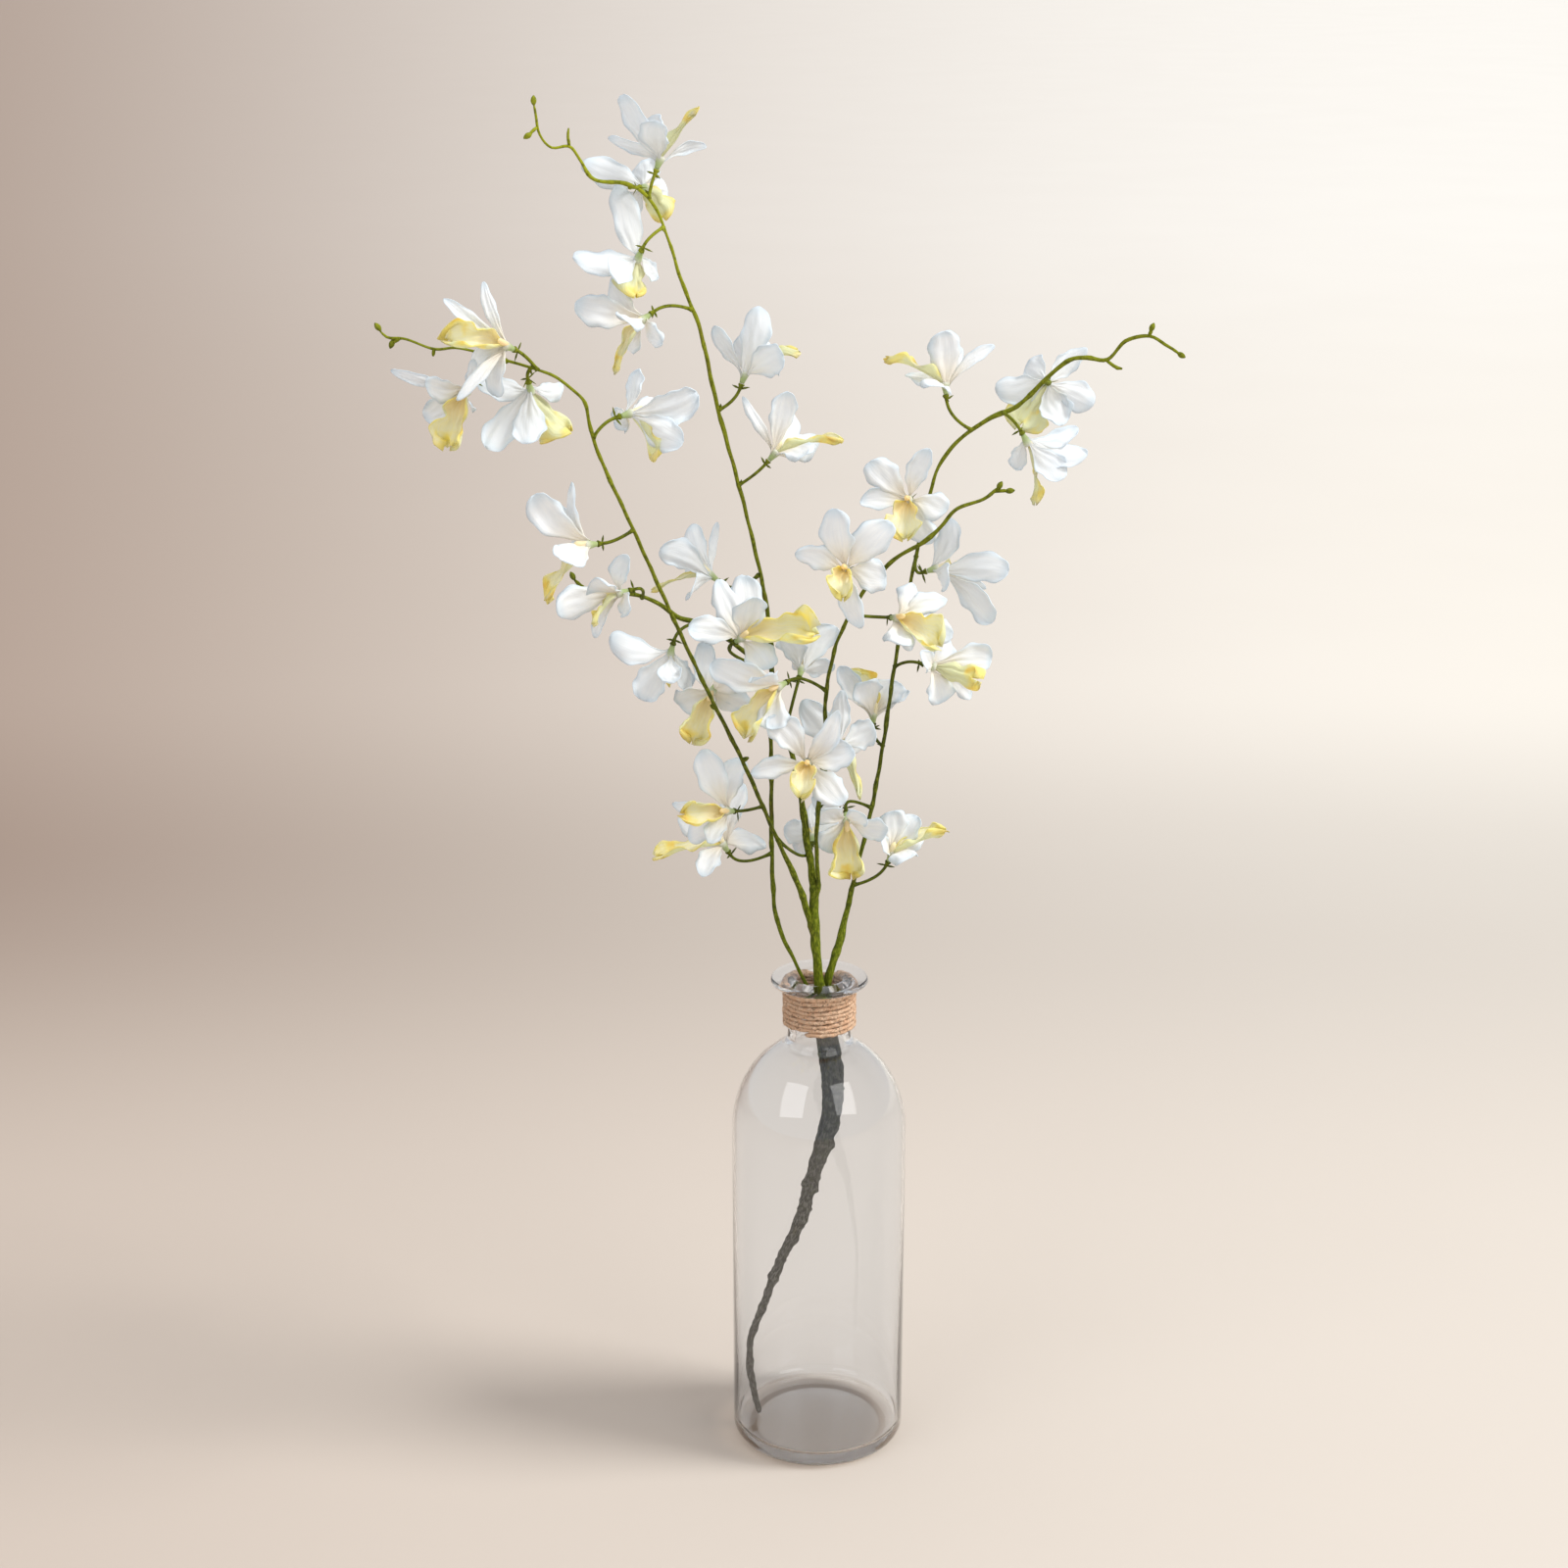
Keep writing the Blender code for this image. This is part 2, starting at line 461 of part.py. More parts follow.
def make_stem(name, main, others, buds, blooms):
    """A stem with its branches, tips, buds and pedicels, joined in one body."""
    pieces = new_collection(name + "_pieces")
    base = tube(name + "_main", main, PARTS)
    for i, route in enumerate(others):
        tube(f"{name}_branch_{i}", route, pieces)
    for i, (centre, lean) in enumerate(buds):
        bud(f"{name}_bud_{i}", centre, pieces, lean)
    for i, (route, height, seat, face) in enumerate(blooms):
        tube(f"{name}_pedicel_{i}", pedicel(route, height, seat, face), pieces, sides=4)
    made = fuse(name, base, pieces)
    bpy.data.collections.remove(pieces)
    return made


def pedicels_of(table, route):
    return [(route, row[0], row[1], row[2]) for row in table.values()]


def make_stems():
    trunk = np.array(TRUNK)
    arch = np.array(ARCH)
    middle = np.array(MIDDLE)
    left = np.array(LEFT)
    tall_in = beside(trunk, 256, 108, 150, -50, 1.6)
    right_in = beside(trunk, 254, 186, 48, 8, 2.2)
    tall = np.array(tall_in[::-1] + TALL_OUT)
    right = np.array(right_in[::-1] + RIGHT_OUT)
    main_buds = [((-125, -32, 503), (-0.5, 0, 1)), ((-216, -40, 629), (-0.6, 0, 0.8)),
                 ((-209.5, -41, 621), (-0.4, 0, -1)), ((87, -46, 552), (0.5, 0, 1)),
                 ((92, -46, 549.5), (1, 0, 0.1))]
    tall_buds = [((-141, 0.5, 733), (0, 0, 1)), ((-144.5, 2, 716), (-1, 0, -0.6))]
    right_buds = [((181, 8, 607.5), (1, 0, -0.6)), ((166.5, 13.5, 620.5), (0.4, 0, 1))]
    make_stem("stem_main", trunk,
              [arch, middle, left, LEFT_STUB, LEFT_SIDE_TIP, MIDDLE_SIDE_TIP], main_buds,
              pedicels_of(ARCH_BLOOMS, arch) + pedicels_of(MIDDLE_BLOOMS, middle)
              + pedicels_of(LEFT_BLOOMS, left))
    make_stem("stem_tall", tall, [TALL_STUB, TALL_SIDE_TIP], tall_buds,
              pedicels_of(TALL_BLOOMS, tall))
    make_stem("stem_right", right, [RIGHT_STUB, RIGHT_SIDE_TIP], right_buds,
              pedicels_of(RIGHT_BLOOMS, right))


def unit(vector):
    return vector / np.linalg.norm(vector)


def petal_points(s, t, root, tip, face, width, blunt, camber, twist):
    """Points of a petal over s from root to tip and t across, from -1 to 1.

    The midline is a quadratic curve that leaves the root leaning towards the face and ends
    at the tip. The half-width grows from a narrow claw and closes as a root of 1 - s**blunt.
    The sides rise towards the face by camber times t squared, and the blade turns about its
    midline towards the tip. Its broad side turns partly to the front of the arrangement.
    """
    reach = tip - root
    size = np.linalg.norm(reach)
    bend = root + 0.24 * size * face + 0.34 * reach
    s = s[:, None]
    t = t[:, None]
    midline = (1 - s) ** 2 * root + 2 * s * (1 - s) * bend + s ** 2 * tip
    along = 2 * (1 - s) * (bend - root) + 2 * s * (tip - bend)
    along = along / np.linalg.norm(along, axis=1, keepdims=True)
    spread = FRONT if face.dot(FRONT) > 0.0 else -FRONT
    across = unit(np.cross(face + SPREAD_TO_FRONT * spread, reach))
    inward = np.cross(along, across)
    side = across * np.cos(twist * s) + inward * np.sin(twist * s)
    raised = inward * np.cos(twist * s) - across * np.sin(twist * s)
    half = width / 2 * (0.04 + 0.96 * np.sin(0.5 * math.pi * np.minimum(1.3 * s, 1.0)))
    half = half * np.sqrt(np.clip(1.0 - s ** blunt, 0.0, 1.0))
    return midline + side * half * t + raised * camber * half * (t ** 2 - 0.5)


def lip_points(s, t, root, tip, face, mouth, phase):
    """Points of the lip, a folded trumpet from root to tip.

    Its cross-section is an arc that opens towards the face, its radius grows towards the
    mouth, where the edge is frilled, and its middle runs on as a tongue that bends away.
    """
    axis = unit(tip - root)
    length = np.linalg.norm(tip - root)
    opening = unit(face - face.dot(axis) * axis)
    across = np.cross(axis, opening)
    wrap = np.radians(100.0) * t
    radius = LIP_ROOT + (mouth - LIP_ROOT) * s ** 1.2
    frill = 1.0 + 0.16 * s ** 3 * np.sin(2.5 * math.pi * t + phase)
    run = length * s * (1.0 - 0.30 * t ** 2)
    low = radius - radius * frill * np.cos(wrap) - 0.35 * mouth * s ** 0.8
    side = radius * frill * np.sin(wrap)
    return root + np.outer(run, axis) + np.outer(low, opening) + np.outer(side, across)


def blade(name, s_steps, t_steps, shape, material_index, collection):
    """A thin blade over a grid of s and t, triangulated and then given its thickness."""
    mesh = bpy.data.meshes.new(name)
    work = bmesh.new()
    bmesh.ops.create_grid(work, x_segments=len(s_steps) - 1, y_segments=len(t_steps) - 1,
                          size=0.5)
    rows = np.array([[vert.co.x + 0.5, vert.co.y + 0.5] for vert in work.verts])
    s = np.interp(rows[:, 0], np.linspace(0, 1, len(s_steps)), s_steps)
    t = np.interp(rows[:, 1], np.linspace(0, 1, len(t_steps)), t_steps)
    for vert, place in zip(work.verts, shape(s, t)):
        vert.co = Vector(place) * MM
    bmesh.ops.remove_doubles(work, verts=work.verts, dist=0.00005)
    bmesh.ops.triangulate(work, faces=work.faces)
    for face in work.faces:
        face.material_index = material_index
    work.to_mesh(mesh)
    work.free()
    made = object_from_mesh(name, mesh, [PETAL_WHITE, LIP_YELLOW], collection)
    shell = made.modifiers.new("thickness", "SOLIDIFY")
    shell.thickness = BLADE_THICKNESS * MM
    shell.offset = 0.0
    return made


def spur(name, seat, face):
    """The short neck from just off the pedicel's end to the heart of a bloom."""
    mesh = bpy.data.meshes.new(name)
    work = bmesh.new()
    bmesh.ops.create_cone(work, cap_ends=True, segments=5, radius1=SPUR_RADIUS * MM,
                          radius2=HEART_RADIUS * MM, depth=SPUR_LENGTH * MM)
    turn = Vector(face).to_track_quat("Z", "Y").to_matrix().to_4x4()
    middle = Vector(seat + face * (GAP + SPUR_LENGTH / 2)) * MM
    bmesh.ops.transform(work, matrix=Matrix.Translation(middle) @ turn, verts=work.verts)
    work.to_mesh(mesh)
    work.free()
    return object_from_mesh(name, mesh, [PETAL_WHITE, LIP_YELLOW])


def make_bloom(name, row, seed):
    """Five petals and a lip on a spur, joined in one body."""
    _height, seat, face, lip, mouth, petals = row
    draw = random.Random(seed)
    seat = np.array(seat, float)
    face = unit(np.array(face, float))
    heart = seat + face * HEART_DEPTH
    pieces = new_collection(name + "_pieces")
    for i, (kind, *reach) in enumerate(petals):
        width, blunt, across = PETAL_KINDS[kind]
        tip = seat + np.array(reach, float)
        outward = unit((tip - heart) - (tip - heart).dot(face) * face)
        root = heart + outward * ROOT_OFFSET + face * LAYER * (i % 3 - 1)
        given = (root, tip, face, width, blunt,
                 draw.uniform(0.12, 0.40), math.radians(draw.uniform(-24, 24)))
        blade(f"{name}_petal_{i}", PETAL_ROWS, across,
              lambda s, t, given=given: petal_points(s, t, *given), 0, pieces)
    shape = (heart + face * LIP_ROOT, seat + np.array(lip, float), face, mouth,
             draw.uniform(0.0, 2 * math.pi))
    blade(f"{name}_lip", LIP_ROWS, np.linspace(-1, 1, LIP_POINTS),
          lambda s, t: lip_points(s, t, *shape), 1, pieces)
    made = fuse(name, spur(name + "_spur", seat, face), pieces)
    bpy.data.collections.remove(pieces)
    return made


def make_blooms():
    seed = 11
    for table in BLOOM_TABLES:
        for name, row in table.items():
            make_bloom("bloom_" + name, row, seed)
            seed += 1


make_bottle()
make_twine()
make_stems()
make_blooms()
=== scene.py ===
"""Orchid arrangement: three green stems with white orchid blooms in a clear glass bottle.

The pieces are worked in millimetres and turned into metres where their mesh is made. The
floor, the lamps and the camera are placed in metres.
"""

import math
import random

import bpy
import mathutils
import numpy as np
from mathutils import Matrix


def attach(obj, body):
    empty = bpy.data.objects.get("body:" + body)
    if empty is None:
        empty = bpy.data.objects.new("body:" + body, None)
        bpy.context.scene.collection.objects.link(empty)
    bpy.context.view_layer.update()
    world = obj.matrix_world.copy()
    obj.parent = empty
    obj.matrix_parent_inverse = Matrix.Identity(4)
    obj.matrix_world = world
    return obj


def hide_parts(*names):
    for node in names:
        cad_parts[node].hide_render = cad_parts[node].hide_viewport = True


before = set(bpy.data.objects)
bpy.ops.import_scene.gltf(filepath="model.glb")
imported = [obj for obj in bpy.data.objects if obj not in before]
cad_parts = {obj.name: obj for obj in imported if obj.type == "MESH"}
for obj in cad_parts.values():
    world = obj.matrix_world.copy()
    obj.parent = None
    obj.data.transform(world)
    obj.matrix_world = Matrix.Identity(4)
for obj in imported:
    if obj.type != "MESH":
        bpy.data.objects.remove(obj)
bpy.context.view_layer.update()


# Glass bottle. Blown clear glass about 2 mm thick, with a solid base, a domed shoulder, a
# straight neck and a flared flat rim that was fire-polished. It stands on a flat ring.
MM = 0.001
GAP = 0.3
BOTTLE_RADIUS = 47.5
BOTTLE_HEIGHT = 274.5
BOTTLE_WALL = 1.7
BOTTLE_SIDES = 128
BASE_THICKNESS = 8.0
FLOOR_FILLET = 9.0
HEEL_RADIUS = 8.0
SHOULDER_START = 186.0
SHOULDER_RISE = 54.5
NECK_RADIUS = 17.0
NECK_BORE = 12.6
RIM_RADIUS = 26.2
RIM_THICKNESS = 3.2
PUSH_UP = [(35.0, 0.0), (31.0, 0.4), (24.0, 1.4), (14.0, 2.1), (0.0, 2.4)]
GLASS_INDEX = 1.20
WALL_COLOUR = (0.938, 0.960, 0.983)
# Painted shade: the warm grey of the shaded floor seen through the bottle's base.
UNDERSIDE_PAINTED_SHADE = (0.80, 0.75, 0.70)
WALL_SHADOW = (0.58, 0.54, 0.50)
BASE_SHADOW = (0.90, 0.87, 0.84)


def arc(centre_r, centre_z, size_r, size_z, start, end, count):
    """Points on an ellipse arc, from one angle to another, measured from the radial axis."""
    angle = np.radians(np.linspace(start, end, count))
    return np.stack([centre_r + size_r * np.cos(angle), centre_z + size_z * np.sin(angle)], 1)


def bottle_profile():
    """Radius and height from the inner floor up the bore, over the rim and down outside.

    The shoulder is a quarter ellipse inside and out, the inner floor rises a little to its
    middle as a squared cosine, and the underside is pushed up inside a flat ring.
    """
    inner = BOTTLE_RADIUS - BOTTLE_WALL
    neck_angle = math.degrees(math.acos(NECK_RADIUS / BOTTLE_RADIUS))
    bore_angle = math.degrees(math.acos((NECK_BORE + 1.0) / inner))
    share = np.linspace(0.0, 1.0, 10)
    floor = np.stack([share * (inner - FLOOR_FILLET),
                      BASE_THICKNESS - 1.2 * (1 - np.cos(0.5 * np.pi * share) ** 2)], 1)
    half = RIM_THICKNESS / 2
    rows = [
        floor,
        arc(inner - FLOOR_FILLET, BASE_THICKNESS + 5.0, FLOOR_FILLET, 6.2, -80, 0, 8),
        arc(0.0, SHOULDER_START, inner, SHOULDER_RISE - BOTTLE_WALL, 0, bore_angle, 26),
        [(NECK_BORE + 0.3, 239.5), (NECK_BORE, 243.0), (NECK_BORE, 256.0), (NECK_BORE, 267.0),
         (NECK_BORE - 0.5, 269.4), (NECK_BORE - 0.8, 271.4), (NECK_BORE - 0.4, 273.1),
         (NECK_BORE + 0.8, 274.1)],
        [(NECK_BORE + 3.2, BOTTLE_HEIGHT), (RIM_RADIUS - 5.0, BOTTLE_HEIGHT)],
        arc(RIM_RADIUS - half, BOTTLE_HEIGHT - half, half, half, 90, -90, 11),
        [(RIM_RADIUS - 4.0, 271.0), (NECK_RADIUS + 2.6, 270.4), (NECK_RADIUS + 0.8, 269.6),
         (NECK_RADIUS, 268.2), (NECK_RADIUS, 256.0), (NECK_RADIUS, 243.0),
         (NECK_RADIUS + 0.25, 240.8)],
        arc(0.0, SHOULDER_START, BOTTLE_RADIUS, SHOULDER_RISE, neck_angle - 3, 0, 30),
        [(BOTTLE_RADIUS, 140.0), (BOTTLE_RADIUS, 90.0), (BOTTLE_RADIUS, 40.0)],
        arc(BOTTLE_RADIUS - HEEL_RADIUS, HEEL_RADIUS, HEEL_RADIUS, HEEL_RADIUS, 0, -90, 12),
        PUSH_UP,
    ]
    return np.concatenate([np.array(row, float) for row in rows])


def round_angles(sides):
    """Even steps of angle round a full circle."""
    return np.arange(sides) * 2 * np.pi / sides


def ring_faces(rings, sides, outside_runs_down):
    """Faces between rings of points, with a fan at each end to the two points that follow
    them. They look outwards. Rings whose outer side runs downwards are wound the other way."""
    row, column = np.meshgrid(np.arange(rings - 1), np.arange(sides), indexing="ij")
    here, after = row * sides + column, row * sides + (column + 1) % sides
    quads = np.stack([here, after, after + sides, here + sides], -1).reshape(-1, 4)
    first = np.arange(sides)
    beside_first = (first + 1) % sides
    last = (rings - 1) * sides
    faces = []
    for group in (quads,
                  np.stack([np.full(sides, rings * sides), beside_first, first], 1),
                  np.stack([np.full(sides, rings * sides + 1), last + first,
                            last + beside_first], 1)):
        faces += (np.roll(group[:, ::-1], 1, axis=1) if outside_runs_down else group).tolist()
    return faces


def turned(profile, sides):
    """A profile of radius and height carried round Z: x is r cos a, y is r sin a, z is kept.

    The profile starts and ends on the axis, where a fan of triangles closes each pole.
    """
    angle = round_angles(sides)
    ring = profile[1:-1]
    points = np.stack([np.outer(ring[:, 0], np.cos(angle)), np.outer(ring[:, 0], np.sin(angle)),
                       np.repeat(ring[:, 1:2], sides, 1)], 2).reshape(-1, 3)
    points = np.concatenate([points, [[0, 0, profile[0, 1]], [0, 0, profile[-1, 1]]]])
    return points, ring_faces(len(ring), sides, True)


def new_piece(name, points, faces, material, nodes, uv=None, marks=None):
    """A smooth-shaded object from points in millimetres, riding on the root body.

    uv gives a place on the surface for each point, and marks holds more numbers by name.
    """
    mesh = bpy.data.meshes.new(name)
    mesh.from_pydata((np.asarray(points) * MM).tolist(), [], faces)
    corner_vertex = np.empty(len(mesh.loops), dtype=np.int32)
    mesh.loops.foreach_get("vertex_index", corner_vertex)
    if uv is not None:
        layer = mesh.uv_layers.new(name="surface")
        layer.data.foreach_set("uv", np.asarray(uv)[corner_vertex].astype(np.float32).ravel())
    for mark, numbers in (marks or {}).items():
        layer = mesh.attributes.new(mark, "FLOAT", "POINT")
        layer.data.foreach_set("value", np.asarray(numbers, dtype=np.float32))
    mesh.shade_smooth()
    mesh.update()
    piece = bpy.data.objects.new(name, mesh)
    bpy.context.scene.collection.objects.link(piece)
    mesh.materials.append(material)
    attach(piece, "root")
    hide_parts(*nodes)


class Nodes:
    """Shorthand for one node tree: add a node, feed its inputs and hand on its output."""

    def __init__(self, tree):
        self.tree = tree

    def feed(self, node, inputs):
        """Each input gets a number or a colour, or a link from the output that is given."""
        for key, given in dict(inputs).items():
            socket = node.inputs[key]
            if isinstance(given, bpy.types.NodeSocket):
                self.tree.links.new(given, socket)
            else:
                socket.default_value = (*given, 1.0) if socket.type == "RGBA" else given
        return node

    def add(self, kind, inputs=(), **settings):
        node = self.tree.nodes.new(kind)
        for key, setting in settings.items():
            setattr(node, key, setting)
        return self.feed(node, inputs)

    def maths(self, operation, first, second=0.0, third=0.0):
        node = self.add("ShaderNodeMath", {0: first, 1: second, 2: third}, operation=operation)
        return node.outputs[0]

    def times(self, first, second):
        return self.maths("MULTIPLY", first, second)

    def mix(self, share, first, second):
        inputs = {0: share, 6: first, 7: second}
        return self.add("ShaderNodeMix", inputs, data_type="RGBA").outputs[2]

    def coats(self, colour, *coats):
        """A colour with others laid over it in order, each given as its share and its colour."""
        for share, coat in coats:
            colour = self.mix(share, colour, coat)
        return colour

    def ramp(self, share, low, high, low_out=0.0, high_out=1.0):
        node = self.add("ShaderNodeMapRange", {0: share, 1: low, 2: high, 3: low_out,
                                               4: high_out}, interpolation_type="SMOOTHSTEP")
        return node.outputs[0]

    def noise(self, vector, scale, detail, roughness=0.5):
        inputs = {"Vector": vector, "Scale": scale, "Detail": detail, "Roughness": roughness}
        return self.add("ShaderNodeTexNoise", inputs).outputs[0]

    def bump(self, height, strength, distance):
        inputs = {"Strength": strength, "Distance": distance, "Height": height}
        return self.add("ShaderNodeBump", inputs).outputs[0]

    def object_place(self):
        return self.add("ShaderNodeTexCoord").outputs["Object"]

    def surface_place(self):
        """The place on the surface, whole and as its two numbers."""
        place = self.add("ShaderNodeUVMap", uv_map="surface").outputs[0]
        parts = self.add("ShaderNodeSeparateXYZ", {0: place}).outputs
        return place, parts[0], parts[1]

    def mark(self, name):
        return self.add("ShaderNodeAttribute", attribute_name=name).outputs["Fac"]


def new_material(name, plain):
    """A new material with its nodes, its Principled shader and its output. plain holds what
    is the same all over the surface."""
    material = bpy.data.materials.new(name)
    material.use_nodes = True
    tree = material.node_tree
    nodes = Nodes(tree)
    shader = nodes.feed(tree.nodes["Principled BSDF"], plain)
    return material, nodes, shader, tree.nodes["Material Output"]


def mixed_surface(nodes, output, share, first, second):
    """Two shaders mixed by a share and handed to the material's output."""
    both = nodes.add("ShaderNodeMixShader", {0: share, 1: first.outputs[0],
                                             2: second.outputs[0]})
    nodes.feed(output, {"Surface": both.outputs[0]})


def bottle_glass():
    """Clear glass, faintly blue, with a slow waviness and a stippled underside, which is tinted
    warm grey as painted shade of the floor seen through the base. It bends light less than real
    glass does, so that its edges stay as pale as in the photograph. Lamps shine through it, less
    through the walls than through the base."""
    material, nodes, shader, output = new_material("bottle_clear_glass", {
        "IOR": GLASS_INDEX, "Coat Weight": 1.0, "Coat Roughness": 0.0, "Transmission Weight": 1.0})
    place = nodes.object_place()
    stretched = nodes.add("ShaderNodeMapping", {"Vector": place, "Scale": (26.0, 26.0, 9.0)})
    wave = nodes.noise(stretched.outputs[0], 1.0, 1.0)
    height = nodes.add("ShaderNodeSeparateXYZ", {0: place}).outputs[2]
    nodes.feed(shader, {
        # The underside's warm grey base colour is painted shade of the floor seen through the
        # base.
        "Base Color": nodes.mix(nodes.ramp(height, 0.0026, 0.0060), UNDERSIDE_PAINTED_SHADE,
                                WALL_COLOUR),
        "Roughness": nodes.ramp(height, 0.0026, 0.0040, 0.45, 0.0),
        "Normal": nodes.bump(wave, 0.10, 0.002)})
    tint = nodes.mix(nodes.ramp(height, 0.010, 0.014), BASE_SHADOW, WALL_SHADOW)
    clear = nodes.add("ShaderNodeBsdfTransparent", {"Color": tint})
    shadow_ray = nodes.add("ShaderNodeLightPath").outputs["Is Shadow Ray"]
    mixed_surface(nodes, output, shadow_ray, shader, clear)
    return material


points, faces = turned(bottle_profile(), BOTTLE_SIDES)
new_piece("glass_bottle", points, faces, bottle_glass(), ["vase_bottle"])


# Twine on the neck. Two-ply jute cord about 2.5 mm thick, wound in nine close rows from under
# the rim to the shoulder and glued. Its ends are tucked under, and short fibres stand out.
TWINE_RADIUS = 1.3
TWINE_SIDES = 16
TWINE_ROWS = 9
TWINE_TOP = 268.6
TWINE_PITCH = 2.5
TWINE_LAY = 6.5
TWINE_START_ANGLE = -2.0
STEPS_PER_TURN = 150
STRAY_FIBRES = 1000
FIBRE_SEED = 5
FIBRE_RADIUS = 0.055
JUTE_DARK = (0.30, 0.165, 0.095)
JUTE_PALE = (0.88, 0.64, 0.45)
JUTE_TAN = (0.60, 0.36, 0.22)
JUTE_FLECK = (0.075, 0.038, 0.02)


def run_along(path):
    """The length along a path to each of its points."""
    steps = np.linalg.norm(np.diff(path, axis=0), axis=1)
    return np.concatenate([[0.0], np.cumsum(steps)])


def tube(path, radius, ridges, tone=0.0):
    """A closed tube round a path: radius times ridges along two axes square to the path.

    The axes are the path's direction crossed with the direction that the path least follows,
    and then crossed with that again, so they turn smoothly. ridges multiplies the radius at
    each step along and each angle round. A fan to the path's end point closes each end. The
    surface place is the share round, which falls to 0 half way and rises again so that no
    seam shows, and the length along in millimetres.
    """
    forward = np.gradient(path, axis=0)
    forward /= np.linalg.norm(forward, axis=1, keepdims=True)
    _strength, axes = np.linalg.eigh(forward.T @ forward)
    first = np.cross(forward, axes[:, 0])
    first /= np.linalg.norm(first, axis=1, keepdims=True)
    second = np.cross(forward, first)
    count, sides = ridges.shape
    angle = round_angles(sides)
    size = (radius[:, None] * ridges)[:, :, None]
    rings = (path[:, None, :] + size * (np.cos(angle)[None, :, None] * first[:, None, :]
                                        + np.sin(angle)[None, :, None] * second[:, None, :]))
    points = np.concatenate([rings.reshape(-1, 3), path[:1], path[-1:]])
    run = run_along(path)
    uv = np.stack([np.tile(np.abs(np.arange(sides) / sides * 2 - 1), count),
                   np.repeat(run, sides)], 1)
    uv = np.concatenate([uv, [[0.5, 0.0], [0.5, run[-1]]]])
    return points, ring_faces(count, sides, False), uv, np.full(len(uv), tone)


def joined(parts):
    """Several meshes as one: their faces counted on, and the rest of their numbers in rows."""
    starts = np.cumsum([0] + [len(part[0]) for part in parts[:-1]])
    faces = [[corner + int(start) for corner in face]
             for start, part in zip(starts, parts) for face in part[1]]
    points, *marks = (np.concatenate([part[k] for part in parts])
                      for k in range(len(parts[0])) if k != 1)
    return points, faces, *marks


def neck_winding():
    """The cord: a helix round the neck whose section is two lobes that turn with the lay.

    The height and the distance out waver as sines, and the cord thins with the square root of
    the way to each end, where it is tucked in.
    """
    turns = TWINE_ROWS - 1 + 0.9
    angle = np.linspace(0.0, 2 * np.pi * turns, int(STEPS_PER_TURN * turns))
    bottom = TWINE_TOP - TWINE_ROWS * TWINE_PITCH + TWINE_RADIUS
    height = bottom + TWINE_PITCH * angle / (2 * np.pi)
    height += 0.22 * np.sin(angle * 2.3) + 0.15 * np.sin(angle * 5.1 + 1)
    away = NECK_RADIUS + GAP + TWINE_RADIUS + 0.14 * np.sin(angle * 3.7)
    path = np.stack([away * np.cos(angle + TWINE_START_ANGLE),
                     away * np.sin(angle + TWINE_START_ANGLE), height], 1)
    run = angle * (NECK_RADIUS + TWINE_RADIUS)
    around = round_angles(TWINE_SIDES)[None, :]
    lobes = 0.95 + 0.11 * np.cos(2 * (around - run[:, None] * np.pi / TWINE_LAY))
    lobes += 0.06 * np.cos(5 * around + run[:, None] * 1.3)
    ends = np.minimum(np.minimum(angle, angle[-1] - angle) / 0.12, 1.0)
    radius = TWINE_RADIUS * (0.35 + 0.65 * np.sqrt(ends))
    radius *= 1 + 0.05 * np.sin(run * 0.9) + 0.04 * np.sin(run * 2.3)
    return tube(path, radius, lobes)


def stray_fibres(count, seed):
    """Short bent hairs on the winding: each leaves the cord and curves off along it."""
    draw = np.random.default_rng(seed)
    hairs = []
    for turn, height, lean, length, rise in zip(
            draw.uniform(0, 2 * np.pi, count),
            draw.uniform(TWINE_TOP - TWINE_ROWS * TWINE_PITCH + 0.8, TWINE_TOP - 0.8, count),
            draw.uniform(-1.0, 1.0, count), draw.uniform(1.2, 4.2, count),
            draw.uniform(0.15, 0.9, count)):
        share = np.linspace(0.0, 1.0, 5)
        angle = turn + lean * length * share / 20.0
        away = NECK_RADIUS + 2.2 + rise * length * 0.4 * share * (1.5 - 0.7 * share)
        path = np.stack([away * np.cos(angle), away * np.sin(angle),
                         height + (1 - abs(lean)) * length * share * np.sign(lean)], 1)
        hairs.append(tube(path, FIBRE_RADIUS * (1.1 - share), np.ones((5, 3)), 1.0))
    return hairs


def twine_jute():
    """Dry jute: tan fibres that run with the lay, light and dark, with a few dark flecks."""
    material, nodes, shader, _output = new_material("neck_twine_jute", {
        "Roughness": 0.92, "Specular IOR Level": 0.2})
    _place, round_share, length = nodes.surface_place()
    slant = nodes.maths("ADD", round_share, nodes.times(length, 0.16))
    lay = nodes.add("ShaderNodeCombineXYZ", {0: nodes.times(slant, 14.0),
                                             1: nodes.times(length, 0.5)})
    fibre = nodes.noise(lay.outputs[0], 1.0, 4.0, 0.7)
    where = nodes.object_place()
    patch = nodes.noise(where, 330.0, 2.0)
    fleck = nodes.noise(where, 900.0, 1.0)
    tan = nodes.coats(JUTE_DARK, (nodes.ramp(fibre, 0.32, 0.66), JUTE_PALE),
                      (nodes.ramp(patch, 0.42, 0.62, 0.0, 0.7), JUTE_TAN),
                      (nodes.ramp(fleck, 0.60, 0.70, 0.0, 0.75), JUTE_FLECK))
    nodes.feed(shader, {"Base Color": tan, "Normal": nodes.bump(fibre, 1.0, 0.0005)})
    return material


points, faces, uv, _tone = joined([neck_winding()] + stray_fibres(STRAY_FIBRES, FIBRE_SEED))
new_piece("neck_winding", points, faces, twine_jute(), ["neck_twine"], uv=uv)


